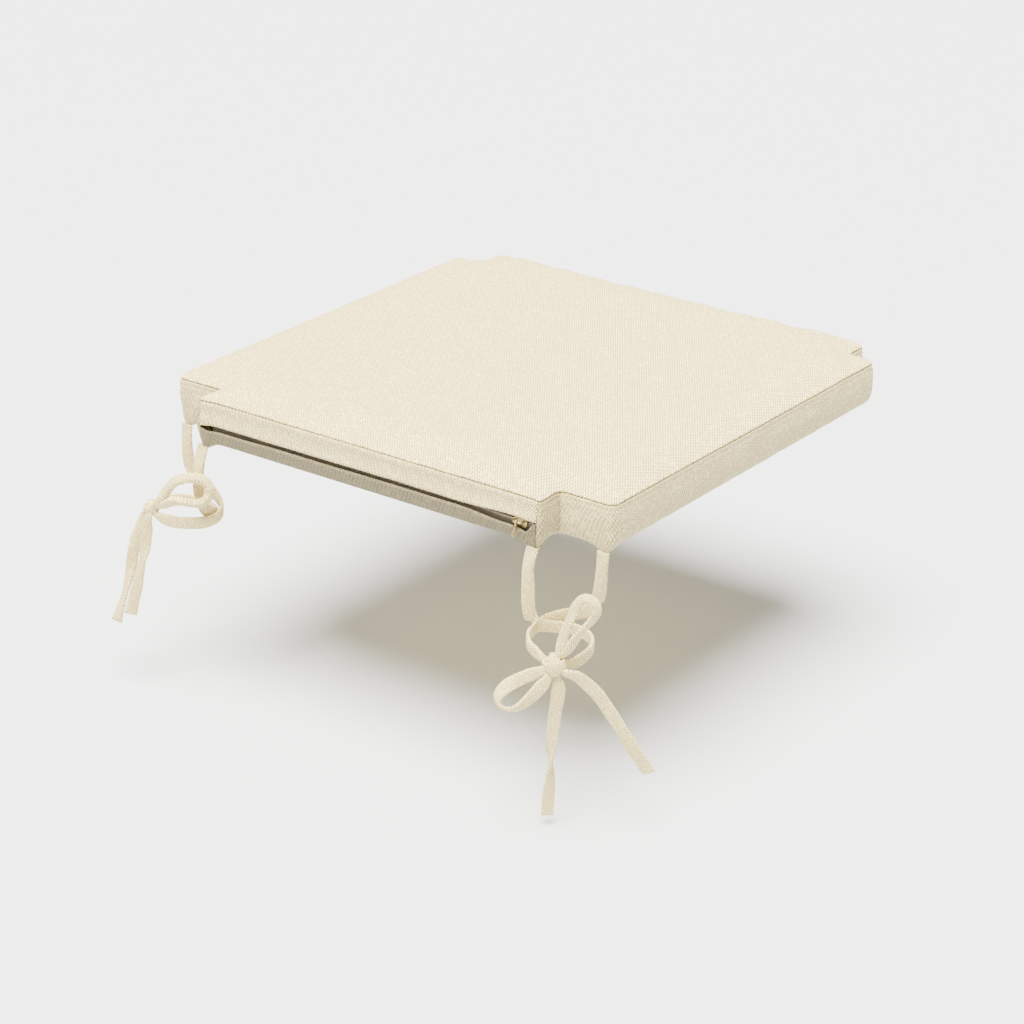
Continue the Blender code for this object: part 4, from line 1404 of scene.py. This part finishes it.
def build_tie(name, material, knot_piece):
    """One tie from its root to its end: flat, but gathered at the knot."""
    sizes = settings("tie_sizes")
    side = name.split("_")[1]
    places, faces = tie_line(name)
    table = [(*place, *face) for place, face in zip(places, faces)]
    line = smooth_line(table, sizes.spacing)
    steps = np.concatenate([[0], np.cumsum(np.linalg.norm(np.diff(line[:, :3], axis=0), axis=1))])
    at = np.linspace(0, steps[-1], round(steps[-1] / sizes.spacing) + 1)
    line = np.stack([np.interp(at, steps, line[:, k]) for k in range(6)], axis=1)
    # Two passes of smoothing
    for _ in range(2):
        line[1:-1] = line[1:-1] * 0.5 + (line[:-2] + line[2:]) * 0.25
    centres, faces = line[:, :3], line[:, 3:]
    knot = np.array(beside_post(side, KNOTS[side][0]))
    from_knot = np.linalg.norm(centres - knot, axis=1)
    # Narrow and thick beside the knot, and flat away from it, with a slightly uneven edge
    spread = ease((from_knot - 0.005) / 0.016)
    run = np.linspace(0, at[-1], len(centres))
    uneven = 1 + 0.04 * np.sin(run / 0.011 + len(name)) + 0.03 * np.sin(run / 0.0047)
    width = sizes.width / 2 * (0.52 + 0.48 * spread) * uneven
    thick = sizes.thickness / 2 * (1.35 - 0.35 * spread) * (2 - uneven)
    rolled = rolled_share(name, centres, side)
    width *= 1 - 0.22 * rolled
    thick *= 1 + 1.05 * rolled
    width *= 1 - 0.24 * gathered_share(name, centres, side)
    end = (at[-1] - run) / 0.0016
    thick *= 0.35 + 0.65 * ease(end)
    sheet = Sheet()
    sheet.tube(centres, faces, width, thick, sizes.ring_points, 3.0)
    piece = sheet.make(name, material, weld=1e-6)
    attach(piece, "cushion")
    stretches = [f"{name}_{stretch}" for stretch in TIES[name]]
    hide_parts(*stretches)


def gathered_share(name, centres, side):
    """1 along the right bow's upright loop, where the strip is gathered, and 0 elsewhere."""
    return near_loop(name, centres, side) if name == "tie_right_outer" else 0.0


def near_loop(name, centres, side):
    """1 on a tie's own loop, and 0 away from it."""
    loop = np.array([tuple(beside_post(side, point)) for point in TIES[name]["loop"][0]])
    gap = np.linalg.norm(centres[:, None] - loop[None], axis=2).min(1)
    return 1 - ease((gap - 0.007) / 0.008)


def rolled_share(name, centres, side):
    """1 along the left bow's loop, where the strip is rolled into a cord, and 0 elsewhere."""
    return near_loop(name, centres, side) if name == "tie_left_inner" else 0.0


def build_knot(side, material):
    """A knot: a lumpy core, with one strip of each tie wound across it."""
    centre, radii = KNOTS[side]
    steps, sides = 48, 14
    shape = bmesh.new()
    bmesh.ops.create_icosphere(shape, subdivisions=4, radius=1.0)
    for vertex in shape.verts:
        x, y, z = vertex.co
        lump = 1 + 0.10 * math.sin(3 * x + 2.1 * z + 0.6) + 0.07 * math.sin(5 * z - 3 * y + 1.0)
        vertex.co = Vector((x * radii[0], y * radii[1], z * radii[2])) * (lump * 0.86 * MM)
    mesh = mesh_of(shape, "core")
    points = [tuple(v.co) for v in mesh.vertices]
    sheet = Sheet()
    sheet.points = list(points)
    sheet.places = [(p[0], p[2], 0.0) for p in points]
    sheet.faces = [tuple(face.vertices) for face in mesh.polygons]
    bpy.data.meshes.remove(mesh)
    for tilt, swing, size, half_width in ((28, 8, 1.0, 0.46), (-52, -20, 0.94, 0.42)):
        turn = Matrix.Rotation(math.radians(tilt), 3, "Y")
        turn = turn @ Matrix.Rotation(math.radians(swing), 3, "X")
        line, faces = [], []
        for step in range(steps):
            angle = math.tau * step / steps
            place = turn @ Vector((math.cos(angle) * radii[0] * 0.62, 0.0, 0.0))
            place += Vector((0.0, math.sin(angle) * radii[1] * 0.98, 0.0))
            place += turn @ Vector((0.0, 0.0, math.cos(angle) * radii[2] * 0.62))
            line.append(place * MM * size)
            faces.append(Vector(place).normalized())
        line.append(line[0])
        faces.append(faces[0])
        rings, places = tube_rings(
            line, faces, [half_width * radii[0] * MM] * len(line), [1.5 * MM] * len(line),
            sides, 2.6,
        )
        first = sheet.grid(rings[:-1], places[:-1], closed=True)
        last = first + (steps - 1) * sides
        for k in range(sides):
            d = (k + 1) % sides
            sheet.faces.append((last + k, last + d, first + d, first + k))
    piece = sheet.make(f"knot_{side}", material, weld=1e-6)
    piece.location = beside_post(side, centre)
    piece.rotation_euler.z = BOW_TURN
    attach(piece, "cushion")
    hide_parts(f"bow_knot_{side}")
    return piece


def build_ties():
    """Both knots, and the four ties that run into them."""
    material = twill("tie_twill", 0.97, wale_share=0.80, float_share=0.55, dark_share=0.48)
    knots = {side: build_knot(side, material) for side in KNOTS}
    for name in TIES:
        build_tie(name, material, knots[name.split("_")[1]])


# ---- stage -------------------------------------------------------------------------------

LOWEST_TIE = -0.221  # the end of the longest tail, with its thickness

def build_camera():
    """A camera behind the cushion, above its right side."""
    look = settings("stage_look")
    a, e, r = look.azimuth, look.elevation, look.roll
    back = Vector((math.sin(a) * math.cos(e), -math.cos(a) * math.cos(e), math.sin(e)))
    level = Vector((math.cos(a), math.sin(a), 0.0))
    lift = back.cross(level)
    right = level * math.cos(r) + lift * math.sin(r)
    up = back.cross(right)
    data = bpy.data.cameras.new("camera")
    data.lens = look.lens
    data.sensor_width = 36.0
    data.clip_start, data.clip_end = 0.05, 50.0
    camera = linked("camera", data)
    turn = Matrix((right, up, back)).transposed().to_4x4()
    camera.matrix_world = Matrix.Translation(Vector(look.target) + back * look.distance) @ turn
    bpy.context.scene.camera = camera


def lamp(name, kind, power, colour, aim, **values):
    """A light that shines along a direction."""
    data = bpy.data.lights.new(name, kind)
    data.energy, data.color = power, colour
    for key, value in values.items():
        setattr(data, key, value)
    light = linked(name, data)
    light.rotation_mode = "QUATERNION"
    light.rotation_quaternion = Vector(aim).to_track_quat("-Z", "Y")
    return light


def build_stage():
    """A pale floor under the lowest tie, a white world and two lamps."""
    look = settings("stage_look")
    floor_z = min(CAD_BOX[0].z, LOWEST_TIE) - look.floor_drop
    shape = bmesh.new()
    bmesh.ops.create_grid(shape, x_segments=8, y_segments=8, size=6.0)
    mesh = mesh_of(shape, "floor")
    nodes = Nodes("pale_floor")
    speck = nodes.noise(nodes.object_place(), 6.0, 2.0)
    shade = nodes.math("MULTIPLY_ADD", speck, 0.01, 0.99)
    pale = nodes.scaled((0.60, 0.63, 0.70, 1.0), shade)
    floor = finished("floor", mesh, nodes.finish(Base_Color=pale, Roughness=0.9))
    floor.location.z = floor_z
    world = bpy.data.worlds.new("studio")
    world.use_nodes = True
    background = world.node_tree.nodes["Background"]
    background.inputs["Color"].default_value = (1.0, 1.0, 1.0, 1.0)
    background.inputs["Strength"].default_value = 0.45
    bpy.context.scene.world = world
    wide = math.radians(40)
    lamp("overhead", "SUN", 24.0, (1.0, 0.955, 0.84), (-0.04, 0.25, -1.0), angle=wide)
    place = Vector((0.6, -2.4, 1.3))
    lamp(
        "rear_side", "AREA", 16.0, (1.0, 0.955, 0.86), -place,
        shape="RECTANGLE", size=1.8, size_y=1.4,
    ).location = place


# ---- operators ---------------------------------------------------------------------------

SHARED = {}


def shared():
    """The outline and the swelling, worked out once for all the cloth pieces."""
    if not SHARED:
        SHARED["outline"] = Outline()
        SHARED["swelling"] = Swelling(SHARED["outline"])
    return SHARED["outline"], SHARED["swelling"]


class CUSHION_OT_stage(bpy.types.Operator):
    """Make the camera, the floor and the lights"""

    bl_idname = "cushion.stage"
    bl_label = "Stage"

    def execute(self, context):
        build_camera()
        build_stage()
        return {"FINISHED"}


class CUSHION_OT_ties(bpy.types.Operator):
    """Make the four ties and the two knots"""

    bl_idname = "cushion.ties"
    bl_label = "Ties and knots"

    def execute(self, context):
        build_ties()
        return {"FINISHED"}


class CUSHION_OT_panels(bpy.types.Operator):
    """Make the top panel and the underside"""

    bl_idname = "cushion.panels"
    bl_label = "Top and underside"

    def execute(self, context):
        build_top(*shared())
        build_underside(shared()[0])
        return {"FINISHED"}


class CUSHION_OT_boxing(bpy.types.Operator):
    """Make the upright strips round the edge"""

    bl_idname = "cushion.boxing"
    bl_label = "Boxing"

    def execute(self, context):
        build_boxing(*shared())
        return {"FINISHED"}


class CUSHION_OT_filling(bpy.types.Operator):
    """Make the foam core"""

    bl_idname = "cushion.filling"
    bl_label = "Filling"

    def execute(self, context):
        build_filling()
        return {"FINISHED"}


class CUSHION_OT_zip_lips(bpy.types.Operator):
    """Make the two folded flaps that cover the zip"""

    bl_idname = "cushion.zip_lips"
    bl_label = "Zip flaps"

    def execute(self, context):
        build_zip_lips()
        return {"FINISHED"}


class CUSHION_OT_zip_chain(bpy.types.Operator):
    """Make the zip's tapes and coils"""

    bl_idname = "cushion.zip_chain"
    bl_label = "Zip tapes and coils"

    def execute(self, context):
        build_zip_chain()
        return {"FINISHED"}


class CUSHION_OT_zip_slider(bpy.types.Operator):
    """Make the slider"""

    bl_idname = "cushion.zip_slider"
    bl_label = "Zip slider"

    def execute(self, context):
        build_slider()
        return {"FINISHED"}


class CUSHION_OT_pull_tab(bpy.types.Operator):
    """Make the pull tab"""

    bl_idname = "cushion.pull_tab"
    bl_label = "Pull tab"

    def execute(self, context):
        build_pull_tab()
        return {"FINISHED"}


OPERATORS = (
    CUSHION_OT_stage,
    CUSHION_OT_ties,
    CUSHION_OT_panels,
    CUSHION_OT_boxing,
    CUSHION_OT_filling,
    CUSHION_OT_zip_lips,
    CUSHION_OT_zip_chain,
    CUSHION_OT_zip_slider,
    CUSHION_OT_pull_tab,
)
GROUPS = {
    "cushion_sizes": CushionSizes,
    "cushion_cloth_look": ClothLook,
    "cushion_tie_sizes": TieSizes,
    "cushion_zip_look": ZipLook,
    "cushion_stage_look": StageLook,
}


class CUSHION_PT_panel(bpy.types.Panel):
    """The cushion's settings and the steps that build it"""

    bl_idname = "CUSHION_PT_panel"
    bl_label = "Seat cushion"
    bl_space_type = "VIEW_3D"
    bl_region_type = "UI"
    bl_category = "Cushion"

    def draw(self, context):
        for group_name, group in GROUPS.items():
            box = self.layout.box()
            box.label(text=group.__doc__)
            for key in group.__annotations__:
                box.prop(getattr(context.scene, group_name), key)
        for operator in OPERATORS:
            self.layout.operator(operator.bl_idname)


def register():
    for group_name, group in GROUPS.items():
        bpy.utils.register_class(group)
        setattr(bpy.types.Scene, group_name, PointerProperty(type=group))
    for item in (*OPERATORS, CUSHION_PT_panel):
        bpy.utils.register_class(item)


def unregister():
    for item in reversed((*OPERATORS, CUSHION_PT_panel)):
        bpy.utils.unregister_class(item)
    for group_name, group in GROUPS.items():
        delattr(bpy.types.Scene, group_name)
        bpy.utils.unregister_class(group)


def main():
    """Build every piece."""
    register()
    bpy.ops.cushion.stage()
    bpy.ops.cushion.ties()
    bpy.ops.cushion.panels()
    bpy.ops.cushion.boxing()
    bpy.ops.cushion.filling()
    bpy.ops.cushion.zip_lips()
    bpy.ops.cushion.zip_chain()
    bpy.ops.cushion.zip_slider()
    bpy.ops.cushion.pull_tab()


if __name__ == "__main__":
    main()
